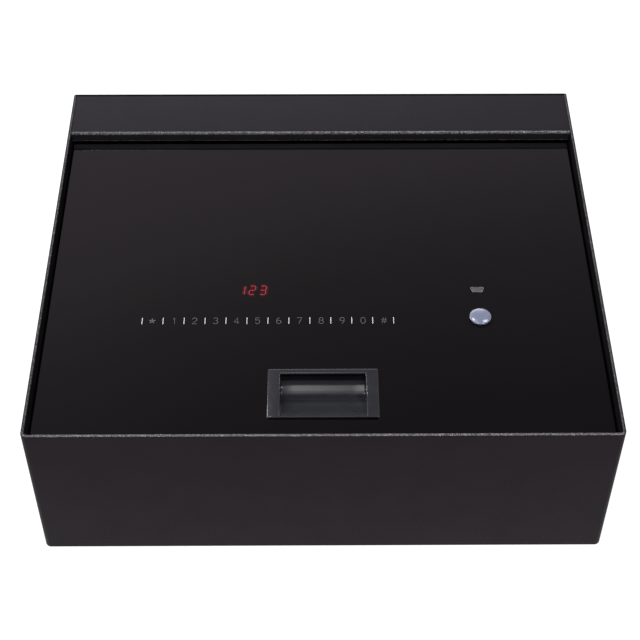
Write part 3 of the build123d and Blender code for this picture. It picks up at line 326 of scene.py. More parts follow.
# One finish for each of the record's material slots
finishes = {
    "case_paint": powderCoat("casePaint", (0.0094, 0.0054, 0.0086), 0.075),
    "strip_paint": powderCoat("stripPaint", (0.0051, 0.0042, 0.0068), 0.155),
    "lid_paint": powderCoat("lidPaint", (0.012, 0.012, 0.013), 0.3, 700, 0.00008, (0.35, 0.5)),
    "black_glass": blackGlass(),
    "tape": mouldedPlastic("bondingTape", (0.03, 0.03, 0.03), (0.7, 0.85), 900, 0.0002),
    "handle_plastic": mouldedPlastic("pullPlastic", (0.0138, 0.0144, 0.0178), (0.15, 0.21), 2600, 0.00001),
    "black_plastic": mouldedPlastic("blackPlastic", (0.010, 0.010, 0.011)),
    "cover_plastic": mouldedPlastic("coverPlastic", (0.018, 0.018, 0.020), (0.45, 0.6), 1300, 0.0002),
    "guide_plastic": mouldedPlastic("nylon", (0.62, 0.60, 0.54)),
    "spacer_plastic": mouldedPlastic("spacerNylon", (0.55, 0.55, 0.52)),
    "red_plastic": mouldedPlastic("redPlastic", (0.45, 0.015, 0.012)),
    "rubber": mouldedPlastic("rubber", (0.014, 0.014, 0.014), (0.7, 0.85), 1500, 0.0001),
    "floor_mat": matFelt(),
    "zinc_steel": platedSteel("zincSteel", (0.56, 0.57, 0.60)),
    "bolt_steel": platedSteel("turnedSteel", (0.52, 0.52, 0.53), (0.16, 0.3), (1, 40, 1), 60),
    "lock_metal": platedSteel("lockNickel", (0.62, 0.60, 0.56), (0.14, 0.22)),
    "cap_metal": satinCap(),
    "port_metal": platedSteel("tinPlate", (0.30, 0.30, 0.30), (0.35, 0.5)),
    "motor_metal": platedSteel("motorCan", (0.55, 0.53, 0.48)),
    "contact_metal": platedSteel("contactNickel", (0.62, 0.60, 0.55)),
    "brass": platedSteel("brass", (0.66, 0.47, 0.19), (0.2, 0.32)),
    "circuit_board": circuitBoard(),
    "display_plastic": mouldedPlastic("displayWindow", (0.03, 0.004, 0.004), (0.1, 0.16)),
    "cell_jacket": mouldedPlastic("cellJacket", (0.02, 0.06, 0.10), (0.15, 0.25)),
    "wire_sheath": mouldedPlastic("wireSheath", (0.25, 0.012, 0.012), (0.3, 0.4)),
    "strut_paint": powderCoat("strutEnamel", (0.012, 0.012, 0.013), 0.5, 300, 0.00003, (0.16, 0.26)),
    "strut_chrome": platedSteel("hardChrome", (0.68, 0.69, 0.71), (0.05, 0.1)),
}
# Finishes of single faces or of one node
# Painted highlight on the front rim, the strip's bend and the lip's foot, and a dimmer copy on the side
# rims
paintedHighlight = paintedGlints("paintedGlints", 0.85, 0.45)
paintedSideHighlight = paintedGlints("paintedSideGlints", 0.4, 0.3)
# Painted shade: a darker coat with no gloss on the inner walls and on the side and back rims
paintedShade = powderCoat("paintedShade", (0.0070, 0.0063, 0.0072), 0.0)
# Painted light: a lighter copy of the strip's paint for the lip's front face
paintedLipLight = powderCoat("paintedLipLight", (0.0125, 0.0115, 0.0135), 0.2)
# Painted shade for the pull's scoop and its front edge
pullShade = powderCoat("pullShade", (0.0048, 0.0046, 0.0056), 0.1, 2600, 0.00001, (0.2, 0.3))
ownFinish = {"lock_bezel": powderCoat("bezelPaint", (0.0030, 0.0028, 0.0036), 0.05)}


def dressNodes():
    for entry in frame["record"]["subparts"]:
        mesh = nodes[entry["node"]].data
        mesh.materials.clear()
        mesh.materials.append(ownFinish.get(entry["node"], finishes[entry["material_slot"]]))


weld = 2e-6  # metres: points nearer than this become one
sliver = 1e-7  # metres: edges shorter than this are taken out


def place(name, points, faces, finish, body, slot, replaced=(), smooth=True, angle=35):
    # points in mm; a face is any number of corners
    mesh = bpy.data.meshes.new(name)
    mesh.from_pydata((np.asarray(points, float) * mm).tolist(), [], [list(map(int, f)) for f in faces])
    bench = bmesh.new()
    bench.from_mesh(mesh)
    bmesh.ops.remove_doubles(bench, verts=bench.verts, dist=weld)
    bmesh.ops.dissolve_degenerate(bench, edges=bench.edges, dist=sliver)
    bmesh.ops.recalc_face_normals(bench, faces=bench.faces)
    bench.to_mesh(mesh)
    bench.free()
    if smooth:
        mesh.shade_smooth()
        mesh.set_sharp_from_angle(angle=math.radians(angle))
    mesh.materials.append(finish)
    thing = addObject(name, mesh)
    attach(thing, body)
    if replaced:
        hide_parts(*replaced)
    return thing


def dressWhere(thing, finish, test):
    # One more finish, on the faces whose centres (x, y and z in mm) pass the test
    mesh = thing.data
    centres = np.zeros(len(mesh.polygons) * 3)
    mesh.polygons.foreach_get("center", centres)
    index = np.zeros(len(mesh.polygons), np.int32)
    mesh.polygons.foreach_get("material_index", index)
    index[test(*(centres.reshape(-1, 3) / mm).T)] = len(mesh.materials)
    mesh.materials.append(finish)
    mesh.polygons.foreach_set("material_index", index)


def gridFaces(rows, columns, closeRows=False, closeColumns=False, start=0):
    # Quads of a rows x columns grid of points, joined up at its ends where asked
    r = np.arange(rows if closeRows else rows - 1)
    c = np.arange(columns if closeColumns else columns - 1)
    i, j = np.meshgrid(r, c, indexing="ij")
    i2, j2 = (i + 1) % rows, (j + 1) % columns
    quads = np.stack([i * columns + j, i * columns + j2, i2 * columns + j2, i2 * columns + j], axis=-1)
    return (quads.reshape(-1, 4) + start).tolist()


def atHeight(flat, z):
    # (x, y) points at one height
    return np.column_stack([flat, np.full(len(flat), z)])


def atStation(x, outline):
    # (y, z) points at one x
    return np.column_stack([np.full(len(outline), x), outline])


def bow(x, y, rx, ry, start, end, count=15):
    # Part of an ellipse between two angles in degrees
    t = np.radians(np.linspace(start, end, count))
    return np.stack([x + rx * np.cos(t), y + ry * np.sin(t)], axis=1)


def arc(centre, radius, start, end, count):
    # Part of a circle, in the same way
    return bow(*centre, radius, radius, start, end, count)


def roundedLoop(x0, x1, y0, y1, radius, rearRadius, steps):
    # A rectangle with round corners, anticlockwise from the front left corner
    a, b = radius, rearRadius
    centres = [(x0 + a, y0 + a), (x1 - a, y0 + a), (x1 - b, y1 - b), (x0 + b, y1 - b)]
    return np.concatenate([arc(centre, r, 180 + 90 * k, 270 + 90 * k, steps)
                           for k, (centre, r) in enumerate(zip(centres, (a, a, b, b)))])


def turned(profile, x, y, steps):
    # (radius, height) pairs turned about an upright axis
    profile = np.asarray(profile, float)
    t = np.linspace(0, 2 * np.pi, steps, endpoint=False)
    r, z = profile[:, 0][:, None], profile[:, 1][:, None]
    points = np.stack([x + r * np.cos(t), y + r * np.sin(t), z + 0 * t], axis=-1)
    return points.reshape(-1, 3), gridFaces(len(profile), steps, closeColumns=True)


def filletedPath(corners, radii, steps):
    # Straight runs joined by arcs: each corner is cut back and bridged by a circular arc
    corners = np.asarray(corners, float)
    out = [corners[0]]
    for k in range(1, len(corners) - 1):
        a, b, c = corners[k - 1], corners[k], corners[k + 1]
        u, v = (a - b) / np.linalg.norm(a - b), (c - b) / np.linalg.norm(c - b)
        half = math.acos(float(np.clip(u @ v, -1, 1))) / 2
        centre = b + (u + v) / np.linalg.norm(u + v) * radii[k] / math.sin(half)
        reach = radii[k] / math.tan(half)
        p, q = b + u * reach - centre, b + v * reach - centre
        start = math.atan2(p[1], p[0])
        sweep = (math.atan2(q[1], q[0]) - start + math.pi) % (2 * math.pi) - math.pi
        t = start + np.linspace(0, sweep, steps)
        out.extend(np.stack([centre[0] + radii[k] * np.cos(t), centre[1] + radii[k] * np.sin(t)], axis=1))
    out.append(corners[-1])
    return np.array(out)


# The pieces are in mm and degrees
case = {"halfWidth": 200.0, "halfDepth": 175.0, "height": 130.0, "sheet": 2.5,
        "corner": 4.2, "rearCorner": 1.5, "leastCorner": 0.05, "cornerSteps": 12,
        "rim": 1.1, "rimSteps": 8, "foot": 1.2, "footSteps": 7,
        "shadeLow": 117.0,  # painted shade on the inner walls above this height, where the lid gap shades them
        "frontEdge": 37,  # how far the rim has turned where its painted highlight starts
        # The side rims' painted highlight: distance from the outer face and from the top
        "sideEdge": 0.8, "sideFall": 0.2}


def caseWalls():
    # The wall's profile of (inset, height) pairs, rounded at rim and foot, carried round the case
    w, d, h, s = (case[k] for k in ("halfWidth", "halfDepth", "height", "sheet"))
    rim, foot, low, steps = (case[k] for k in ("rim", "foot", "shadeLow", "cornerSteps"))
    outer = arc((foot, foot), foot, 270, 180, case["footSteps"])
    crown = arc((rim, h - rim), rim, 180, 90, case["rimSteps"])
    inner = arc((s - rim, h - rim), rim, 90, 0, case["rimSteps"])
    profile = np.concatenate([outer, crown, inner, [(s, low), (s, 0.0)]])

    def ring(inset):
        rear = max(case["rearCorner"] - inset, case["leastCorner"])
        return roundedLoop(inset - w, w - inset, inset - d, d - inset, case["corner"] - inset, rear, steps)

    points = np.concatenate([atHeight(ring(inset), z) for inset, z in profile])
    faces = gridFaces(len(profile), 4 * steps, True, True)
    walls = place("caseWalls", points, faces, finishes["case_paint"], "case", "case_paint", ["body_wrap"])
    inX, inY, frontEnd = w - s + near, d - s + near, s - d
    glintLow = h - rim + rim * math.sin(math.radians(case["frontEdge"]))
    sideX, sideLow = w - case["sideEdge"], h - case["sideFall"]
    # Painted shade on the inner walls above shadeLow, then on the rims of the sides and back
    dressWhere(walls, paintedShade, lambda x, y, z: (abs(x) < inX) & (abs(y) < inY) & (z > low))
    dressWhere(walls, paintedShade, lambda x, y, z: (y > frontEnd) & (z > h - rim))
    # Painted highlight, the dimmer copy, on the side rims' inner part
    dressWhere(walls, paintedSideHighlight, lambda x, y, z: (y > frontEnd) & (y < strip["front"]) &
               (abs(x) < sideX) & (z > sideLow))
    # Painted highlight on the front rim
    dressWhere(walls, paintedHighlight, lambda x, y, z: (y < frontEnd) & (z > glintLow))


strip = {"front": 127.0, "back": 172.5, "side": 197.4, "top": 130.0, "sheet": 2.5, "lip": 121.3,
         "stations": 9, "bend": 3.0, "bendSteps": 12, "insideSteps": 6, "backCut": 0.5,
         "lipRound": 0.4, "lipSteps": 4, "lipFace": 1.1,
         # The painted highlight reaches down and back over the bend by these shares, and up from the lip's
         # foot
         "glintDown": 0.66, "glintBack": 0.53, "glintUp": 1.0}


def coverStrip():
    # Folded sheet: flat top, round bend and a front lip, as one outline carried along X
    f, b, t, s, low, r, e = (strip[k] for k in ("front", "back", "top", "sheet", "lip", "bend", "lipRound"))
    bend = arc((f + r, t - r), r, 180, 90, strip["bendSteps"])
    inside = arc((f + r, t - r), r - s, 90, 180, strip["insideSteps"])
    back = [(b - strip["backCut"], t), (b, t - strip["backCut"]), (b, t - s)]
    lipBack = arc((f + s - e, low + e), e, 0, -90, strip["lipSteps"])
    lipFront = arc((f + e, low + e), e, -90, -180, strip["lipSteps"])
    outline = np.concatenate([bend, back, inside, lipBack, lipFront, [(f, low + strip["lipFace"])]])
    count, stations = len(outline), np.linspace(-strip["side"], strip["side"], strip["stations"])
    points = np.concatenate([atStation(x, outline) for x in stations])
    faces = gridFaces(len(stations), count, closeColumns=True)
    faces += [list(range(count)), list(range(len(points) - count, len(points)))]
    sheet = place("coverStrip", points, faces, finishes["strip_paint"], "case", "strip_paint",
                  ["rear_cover_strip"])
    bendLow, bendBack, footTop = t - strip["glintDown"] * r, f + strip["glintBack"] * r, low + strip["glintUp"]
    # Painted light on the lip's front face
    dressWhere(sheet, paintedLipLight, lambda x, y, z: (y < f + near) & (z < bendLow))
    # Painted highlight on the bend, and a painted highlight line along the lip's foot
    dressWhere(sheet, paintedHighlight, lambda x, y, z: (y < bendBack) & (z > bendLow))
    dressWhere(sheet, paintedHighlight, lambda x, y, z: (y < f + e) & (z < footTop))


pull = {
    # The rim, the body below the glass and the opening in the rim
    "x": 38.1, "front": -152.6, "back": -109.8, "top": 121.5, "glass": 120.0, "under": 107.1,
    "corner": 1.0, "cornerSteps": 6, "edge": 0.8, "frontEdge": 0.1, "edgeSteps": 6,
    "body": 1.3, "bodyCorner": 0.7,
    "openX": 29.5, "frontLip": 1.2, "rearLip": 4.2, "openEdge": 0.8, "frontOpen": 0.12,
    # The scoop: where its slope ends behind the front, its depth and its radii
    "slope": 26.5, "depth": 13.0, "heel": 12.0, "rearRound": 10.2, "lipThick": 2.0, "lipRounds": (0.5, 0.3),
    "wall": 2.7, "scoopSteps": 13, "sideRound": 1.1, "sideSteps": 7, "flatX": 20.0, "flatSteps": 5,
    # The rear wall's heights that get painted shade under the lip, and how far the painted shade reaches
    # past the lip
    "shadeFrom": 113.6, "shadeTo": 120.5, "shadePast": 1.0,
}


def pullRing(x, y0, y1, radius, z, stations, frontZ=None):
    # Rectangle whose front and back edges carry the scoop's stations and whose corners are arcs;
    # its front edge may lie at a height of its own
    xs = stations[1:-1]
    front = np.column_stack([xs, np.full(len(xs), y0)])
    back = np.column_stack([xs[::-1], np.full(len(xs), y1)])
    left, right, low, high = radius - x, x - radius, y0 + radius, y1 - radius
    centres = [(left, low), (right, low), (right, high), (left, high)]
    a, b, c, d = (arc(centre, radius, 180 + 90 * k, 270 + 90 * k, pull["cornerSteps"])
                  for k, centre in enumerate(centres))
    loop = np.concatenate([a, front, b, c, back, d])
    return np.column_stack([loop, np.where(loop[:, 1] < y0 + near, z if frontZ is None else frontZ, z)])


def pullRim(stations):
    # Rings up the outside, over the rim's round edge and down the opening's round edge. At an angle of
    # its quarter turn, a round edge has moved in by one minus the cosine and up by the sine
    p = pull
    f, b, t, e, r, lift = (p[k] for k in ("front", "back", "top", "openEdge", "edge", "frontOpen"))
    body = (p["x"] - p["body"], f + p["body"], b - p["body"], p["bodyCorner"])
    rings = [pullRing(*body, z, stations) for z in (p["under"], p["glass"])]
    rings.append(pullRing(p["x"], f, b, p["corner"], p["glass"], stations))
    turns = np.radians(np.linspace(0, 90, p["edgeSteps"]))
    for a in turns:
        cut = 1 - math.cos(a)
        front, back = f + p["frontEdge"] * cut, b - r * cut
        z = t - r + r * math.sin(a)
        rings.append(pullRing(p["x"] - r * cut, front, back, p["corner"] - r * cut, z, stations))
    for a in turns[::-1]:
        grow, fall = 1 - math.cos(a), 1 - math.sin(a)
        x, z, frontZ = p["openX"] + e * grow, t - e * fall, t - lift * fall
        front, back = f + p["frontLip"] - lift * grow, b - p["rearLip"] + e * grow
        rings.append(pullRing(x, front, back, 0.0, z, stations, frontZ))
    return rings


def scoopProfile(inward):
    # The scoop's floor from the front lip to the rear lip as straight runs and arcs, moved inward along
    # its normals for the side fillets; its two ends stay on the opening's edge
    p = pull
    f, b, t, edge = p["front"], p["back"], p["top"], p["top"] - p["openEdge"]
    deep, wall, lip, under = t - p["depth"], b - p["wall"], b - p["rearLip"], t - p["lipThick"]
    corners = [(f + p["frontLip"], t - p["frontOpen"]), (f + p["slope"], deep), (wall, deep), (wall, under),
               (lip, under), (lip, edge)]
    path = filletedPath(corners, [0, p["heel"], p["rearRound"], *p["lipRounds"], 0], p["scoopSteps"])
    along = np.gradient(path, axis=0)
    along /= np.linalg.norm(along, axis=1)[:, None]
    moved = path + np.column_stack([-along[:, 1], along[:, 0]]) * inward
    moved[:, 1] = np.minimum(moved[:, 1], edge)
    moved[0], moved[-1] = path[0], path[-1]
    return moved


def pullHandle():
    # The rim's rings and the scoop's rows share the opening's edge; the scoop's sides are fillets, a
    # quarter turn of rows each
    p = pull
    r = p["sideRound"]
    turns = np.radians(np.linspace(0, 90, p["sideSteps"]))
    # Stations across the scoop: x, and how far the profile moves inward there
    side = [(p["openX"] - r + r * math.sin(a), r * (1 - math.cos(a))) for a in turns]
    flat = [(x, 0.0) for x in np.linspace(-p["flatX"], p["flatX"], p["flatSteps"])]
    stations = [(-x, inward) for x, inward in side[::-1]] + flat + side
    rings = pullRim(np.array([x for x, inward in stations]))
    rows = [atStation(x, scoopProfile(inward)) for x, inward in stations]
    count, columns, base = len(rings[0]), len(rows[0]), len(rings) * len(rings[0])
    last = base + (len(rows) - 1) * columns
    faces = gridFaces(len(rings), count, closeColumns=True) + [list(range(count))]
    faces += gridFaces(len(rows), columns, start=base)
    faces += [list(range(start, start + columns)) for start in (base, last)]
    handle = place("pullHandle", np.concatenate(rings + rows), faces, finishes["handle_plastic"], "lid",
                   "handle_plastic", ["handle_cup"], angle=40)
    # Painted shade where the lip shades the rear wall, and a painted shadow line along the rim's front edge
    front, back = p["back"] - p["rearLip"] - p["shadePast"], p["back"] - p["wall"] + p["shadePast"]
    low, high = p["shadeFrom"], p["shadeTo"]
    dressWhere(handle, pullShade, lambda x, y, z: (abs(x) < p["openX"] + near) & (y > front) & (y < back) &
               (z > low) & (z < high))
    dressWhere(handle, pullShade, lambda x, y, z: (y < p["front"] + near) & (z > p["glass"] - near))


cap = {"x": 112.5, "y": -62.0, "lip": 121.35, "radius": 7.75, "rise": 1.8, "bulge": 2.93, "domeSteps": 20,
       # The round edge, how far it has turned where the dome meets it, and its foot
       "edge": 0.8, "shoulder": 70, "edgeSteps": 9, "foot": 0.15,
       "skirt": 7.0, "skirtLow": 116.4, "skirtWall": 1.0, "roof": 0.2, "steps": 72}


def keyholeCap():
    # Dome that falls with a power of the radius, a small round edge and a hollow skirt, all turned about
    # the lock's axis
    c = cap
    low, top = c["lip"], c["lip"] + c["rise"]
    shoulder = arc((c["radius"] - c["edge"], low + c["foot"]), c["edge"], c["shoulder"], 0, c["edgeSteps"])
    reach, end = shoulder[0]
    r = np.linspace(0.0, reach, c["domeSteps"])
    dome = np.column_stack([r, top - (top - end) * (r / reach) ** c["bulge"]])
    outer, inner, deep, roof = c["skirt"], c["skirt"] - c["skirtWall"], c["skirtLow"], low + c["roof"]
    skirt = [(c["radius"] - c["foot"], low), (outer, low), (outer, deep),
             (inner, deep), (inner, roof), (0.0, roof)]
    points, faces = turned(np.concatenate([dome, shoulder[1:], skirt]), c["x"], c["y"], c["steps"])
    place("keyholeCap", points, faces, finishes["cap_metal"], "keyhole_cap", "cap_metal", ["keyhole_cap"],
          angle=50)


keys = {"first": -128.25, "pitch": 14.91, "y": -63.9, "tick": 6.1, "tickWidth": 0.43, "signWidth": 0.42,
        "starWidth": 0.63, "level": 120.02, "thick": 0.03, "tickInk": (0.56, 0.55, 0.57),
        "signInk": (0.060, 0.060, 0.062), "starInk": (0.085, 0.085, 0.088), "order": "*1234567890#",
        # How far a sign sits off the middle between its ticks
        "aside": {"*": -0.35, "1": 0.3, "6": 0.3, "8": 0.6, "9": 0.6, "0": 0.6, "#": 0.6}}


def ribbons(paths, width, level, thick):
    # Each path becomes a flat bar: both edges lie half a width to the sides of it, mitred where it turns
    leastMitre = 0.6  # a sharper turn is mitred no further than this cosine allows
    points, faces = [], []
    for path in paths:
        path = np.asarray(path, float)
        u = np.diff(path, axis=0)
        u /= np.linalg.norm(u, axis=1)[:, None]
        before, after = np.vstack([u[:1], u]), np.vstack([u, u[-1:]])
        mid = before + after
        mid /= np.linalg.norm(mid, axis=1)[:, None]
        stretch = 1 / np.maximum(np.sum(mid * after, axis=1), leastMitre)
        side = np.column_stack([-mid[:, 1], mid[:, 0]]) * (width / 2 * stretch)[:, None]
        left, right, top = path + side, path - side, level + thick
        edges = [(left, level), (right, level), (right, top), (left, top)]
        start = sum(len(p) for p in points)
        points.append(np.stack([atHeight(flat, z) for flat, z in edges], axis=1).reshape(-1, 3))
        faces += gridFaces(len(path), 4, closeColumns=True, start=start)
        faces += [list(range(first, first + 4)) for first in (start, start + 4 * (len(path) - 1))]
    return np.concatenate(points), faces


def signPaths(sign):
    # Each sign is a few strokes about its own middle, six millimetres high
    six = [bow(0, -1.25, 1.55, 1.6, 0, 360, 25), bow(0.75, -0.9, 2.3, 3.75, 176, 98)]
    star = [[(0, 0), (2.3 * math.cos(a), 2.3 * math.sin(a))] for a in np.radians([90, 162, 234, 306, 18])]
    strokes = {
        "0": [bow(0, 0, 1.65, 2.85, 0, 360, 31)],
        "1": [[(-0.9, 1.8), (0.35, 2.85), (0.35, -2.85)]],
        "2": [np.vstack([bow(0, 1.3, 1.6, 1.55, 170, -32), [(-1.7, -2.8), (1.75, -2.8)]])],
        "3": [np.vstack([bow(-0.05, 1.5, 1.5, 1.35, 155, -85), bow(0, -1.3, 1.7, 1.5, 85, -160)])],
        "4": [[(1.9, -1.25), (-1.85, -1.25), (0.85, 2.85), (0.85, -2.85)]],
        "5": [np.vstack([[(1.5, 2.8), (-1.15, 2.8), (-1.4, 0.35)],
                         bow(0.05, -0.95, 1.65, 1.85, 130, -155)])],
        "6": six,
        "7": [[(-1.7, 2.8), (1.7, 2.8), (-0.35, -2.85)]],
        "8": [bow(0, 1.5, 1.35, 1.3, 0, 360, 25), bow(0, -1.35, 1.65, 1.5, 0, 360, 25)],
        "9": [-path for path in six],
        "*": star,
        "#": [[(-1.3, -2.6), (-0.4, 2.6)], [(0.4, -2.6), (1.3, 2.6)],
              [(-2.0, 0.9), (2.0, 0.9)], [(-2.0, -0.9), (2.0, -0.9)]],
    }
    return strokes[sign]


def keyPrint():
    # Thin bars between the keys and one sign on each
    k = keys
    low, high = k["y"] - k["tick"] / 2, k["y"] + k["tick"] / 2
    ticks = [[(x, low), (x, high)] for x in k["first"] + k["pitch"] * np.arange(len(k["order"]) + 1)]
    star, signs = [], []
    for n, sign in enumerate(k["order"]):
        middle = (k["first"] + k["pitch"] * (n + 0.5) + k["aside"].get(sign, 0.0), k["y"])
        kind = star if sign == "*" else signs
        kind += [np.asarray(path) + middle for path in signPaths(sign)]
    for name, paths, width, ink in (("keyTicks", ticks, "tickWidth", "tickInk"),
                                    ("keyStar", star, "starWidth", "starInk"),
                                    ("keySigns", signs, "signWidth", "signInk")):
        points, faces = ribbons(paths, k[width], k["level"], k["thick"])
        place(name, points, faces, printInk(ink, k[ink]), "lid", "black_glass", smooth=False)


display = {"x": (-58.1, -50.6, -42.8), "digits": "123", "y": -34.3, "height": 8.3, "width": 4.0,
           "gap": 0.30, "lean": 0.10,
           "bar": 0.74, "level": 120.02, "thick": 0.03, "light": (0.36, 0.045, 0.064),
           "halo": 3.4, "haloLevel": 120.002, "haloThick": 0.012, "glow": (0.052, 0.001, 0.003),
           "segments": {"1": "bc", "2": "abged", "3": "abgcd"}}


def displayPrint():
    # Bars between the corners of an upright eight, sheared to lean right, over a wider dull glow that is
    # painted light: the digits' light spread round them
    d = display
    w, h = d["width"] / 2, d["height"] / 2
    ends = {"a": ((-w, h), (w, h)), "g": ((-w, 0), (w, 0)), "d": ((-w, -h), (w, -h)), "b": ((w, 0), (w, h)),
            "e": ((-w, -h), (-w, 0)), "c": ((w, -h), (w, 0))}
    bars = []
    for digit, x in zip(d["digits"], d["x"]):
        for segment in d["segments"][digit]:
            a, b = (np.array(end, float) for end in ends[segment])
            gap = (b - a) / np.linalg.norm(b - a) * d["gap"]
            bar = np.array([a + gap, b - gap])
            bar[:, 0] += bar[:, 1] * d["lean"]
            bars.append(bar + (x, d["y"]))
    for name, width, level, thick, colour in (("displayDigits", "bar", "level", "thick", "light"),
                                              ("displayGlow", "halo", "haloLevel", "haloThick", "glow")):
        points, faces = ribbons(bars, d[width], d[level], d[thick])
        finish = litPrint(name + "Light", d[colour])
        place(name, points, faces, finish, "lid", "display_plastic", smooth=False)


border = {"x": 195.8, "y": 122.35, "deep": 5.4, "level": 120.015, "thick": 0.012,
          "ink": (0.0058, 0.0054, 0.0060), "gloss": 0.04}


def glassBorder():
    # Matt print along the glass's rear edge
    b = border
    points, faces = ribbons([[(-b["x"], b["y"]), (b["x"], b["y"])]], b["deep"], b["level"], b["thick"])
    ink = powderCoat("borderInk", b["ink"], b["gloss"])
    place("glassBorder", points, faces, ink, "lid", "black_glass", smooth=False)


port = {"x": 112.4, "y": -33.9, "wide": 8.8, "foot": 6.1, "deep": 4.6, "round": 1.2, "shoulder": 0.4,
        "roundSteps": 5, "low": 118.9, "high": 119.4, "chamfer": 0.15, "narrow": 0.95,
        "colour": (0.042, 0.0405, 0.043)}


def portFace():
    # Pale insulator that fills the socket's mouth: a trapezium with round corners and a small chamfer
    p = port
    front, back, foot, wide = -p["deep"] / 2, p["deep"] / 2, p["foot"] / 2, p["wide"] / 2
    corners = [(0, front), (foot, front), (wide, back), (-wide, back), (-foot, front), (0, front)]
    radii = [0, p["round"], p["shoulder"], p["shoulder"], p["round"], 0]
    path = filletedPath(corners, radii, p["roundSteps"])[:-1]
    levels = ((1.0, p["low"]), (1.0, p["high"] - p["chamfer"]), (p["narrow"], p["high"]))
    points = np.concatenate([atHeight(path * share + (p["x"], p["y"]), z) for share, z in levels])
    count = len(path)
    faces = gridFaces(3, count, closeColumns=True) + [list(range(count)), list(range(2 * count, 3 * count))]
    finish = mouldedPlastic("insulator", p["colour"], (0.4, 0.5), 1500)
    place("portFace", points, faces, finish, "lid", "port_metal")


mat = {"halfX": 196.5, "halfY": 171.5, "corner": 3.0, "top": 4.42, "thick": 1.85, "edge": 0.35,
       # The four holes and the square cell of the grid round each of them
       "hole": 9.0, "holeX": 130.0, "holeY": 90.0, "cell": 20.0, "cellRings": 6, "cellSteps": 8,
       "spanPoints": (5, 9, 17, 9, 5), "waves": 0.05, "waveLengths": (41.0, 33.0, 57.0)}


def holeCell(xs, ys):
    # Rings that pass in equal shares from a square's outline to a circle's, both from -45 degrees round
    n = mat["cellSteps"]
    side, one = np.linspace(-1, 1, n + 1)[:-1], np.ones(n)
    edges = ((one, side), (-side, one), (-one, -side), (side, -one))
    square = np.concatenate([np.column_stack(edge) for edge in edges])
    t = np.radians(np.linspace(-45, 315, 4 * n + 1)[:-1])
    circle = np.column_stack([np.cos(t), np.sin(t)])
    rings = [square * mat["cell"] * (1 - f) + circle * mat["hole"] * f + (xs.mean(), ys.mean())
             for f in np.linspace(0, 1, mat["cellRings"])]
    return np.concatenate(rings), gridFaces(mat["cellRings"], 4 * n, closeColumns=True)


def plainCell(xs, ys):
    # Regular points between two lists of coordinates
    x, y = np.meshgrid(xs, ys, indexing="ij")
    return np.stack([x.ravel(), y.ravel()], axis=1), gridFaces(len(xs), len(ys))


def spans(half, hole):
    # The grid's coordinates along one side, with a cell's width at each hole
    stops = [-half, -hole - mat["cell"], -hole + mat["cell"], hole - mat["cell"], hole + mat["cell"], half]
    return [np.linspace(a, b, n) for a, b, n in zip(stops, stops[1:], mat["spanPoints"])]


def floorMat():
    # Flat felt on a grid of cells; its height is half the sum of two slow waves, a sine in x times a
    # cosine in y and a sine in y
    m = mat
    points, faces = [], []
    for i, xs in enumerate(spans(m["halfX"], m["holeX"])):
        for j, ys in enumerate(spans(m["halfY"], m["holeY"])):
            flat, quads = holeCell(xs, ys) if i % 2 and j % 2 else plainCell(xs, ys)
            start = sum(len(p) for p in points)
            points.append(flat)
            faces += [[v + start for v in quad] for quad in quads]
    flat = np.concatenate(points)
    # Points outside a corner's round are drawn in to it
    far = np.clip(abs(flat) - (m["halfX"] - m["corner"], m["halfY"] - m["corner"]), 0, None)
    reach = np.maximum(np.linalg.norm(far, axis=1), tiny)
    keep = np.where(reach > m["corner"], m["corner"] / reach, 1.0)[:, None]
    flat = np.sign(flat) * (abs(flat) - far + far * keep)
    a, b, c = m["waveLengths"]
    x, y = flat.T
    z = m["top"] + m["waves"] * (np.sin(x / a) * np.cos(y / b) + np.sin(y / c)) / 2
    thing = place("floorMat", np.column_stack([flat, z]), faces, finishes["floor_mat"], "case", "floor_mat",
                  ["floor_mat"])
    thick = thing.modifiers.new("thick", "SOLIDIFY")
    thick.thickness = m["thick"] * mm
    thick.offset = -1
    edge = thing.modifiers.new("edge", "BEVEL")
    edge.width = m["edge"] * mm
    edge.segments = 2
    edge.limit_method = "ANGLE"


cell = {"x": (-119.0, -103.8, -88.6, -73.4), "ways": (1, -1, 1, -1), "y": -38.6, "z": 89.1,
        "half": 24.5, "radius": 7.1, "steps": 40,
        # Both ends as (radius, distance past the end) pairs, and the crimp that each of them has
        "flatEnd": [(0.0, -0.15), (4.4, -0.15), (4.7, 0.0), (5.4, -0.35), (6.3, -0.05)],
        "poleEnd": [(6.2, -0.05), (5.6, -0.4), (3.5, -0.4), (2.9, -0.1),
                    (2.7, 0.6), (2.4, 0.98), (0.0, 0.98)],
        "crimp": [(6.85, -0.1), (7.1, -0.5)], "bareEnd": 0.9,
        "bandFrom": -22.5, "bandTo": -13.0, "copper": (0.55, 0.30, 0.16)}


def roundCells():
    # A crimped can with its pole cap, turned about its axis, then laid along Y, every other one reversed
    c = cell
    h, r = c["half"], c["radius"]
    low = [(radius, -h - past) for radius, past in c["flatEnd"] + c["crimp"]]
    high = [(radius, h + past) for radius, past in c["crimp"][::-1] + c["poleEnd"]]
    upright, quads = turned(low + [(r, c["bandFrom"]), (r, c["bandTo"])] + high, 0.0, 0.0, c["steps"])
    across, up, along = upright.T
    points = np.concatenate([np.column_stack([x + across, c["y"] + way * along, c["z"] + up])
                             for x, way in zip(c["x"], c["ways"])])
    faces = [[v + n * len(upright) for v in quad] for n in range(len(c["x"])) for quad in quads]
    cans = place("roundCells", points, faces, finishes["cell_jacket"], "lid", "cell_jacket", ["cells"])
    centres, ways = np.array(c["x"]), np.array(c["ways"])

    def nearest(x):
        return np.argmin(abs(x[:, None] - centres), axis=1)

    def inBand(x, y, z):
        reach = (y - c["y"]) * ways[nearest(x)]
        return (reach > c["bandFrom"]) & (reach < c["bandTo"])

    def atEnd(x, y, z):
        return np.hypot(x - centres[nearest(x)], z - c["z"]) < r - c["bareEnd"]

    dressWhere(cans, platedSteel("cellCopper", c["copper"], (0.25, 0.38)), inBand)
    dressWhere(cans, finishes["contact_metal"], atEnd)


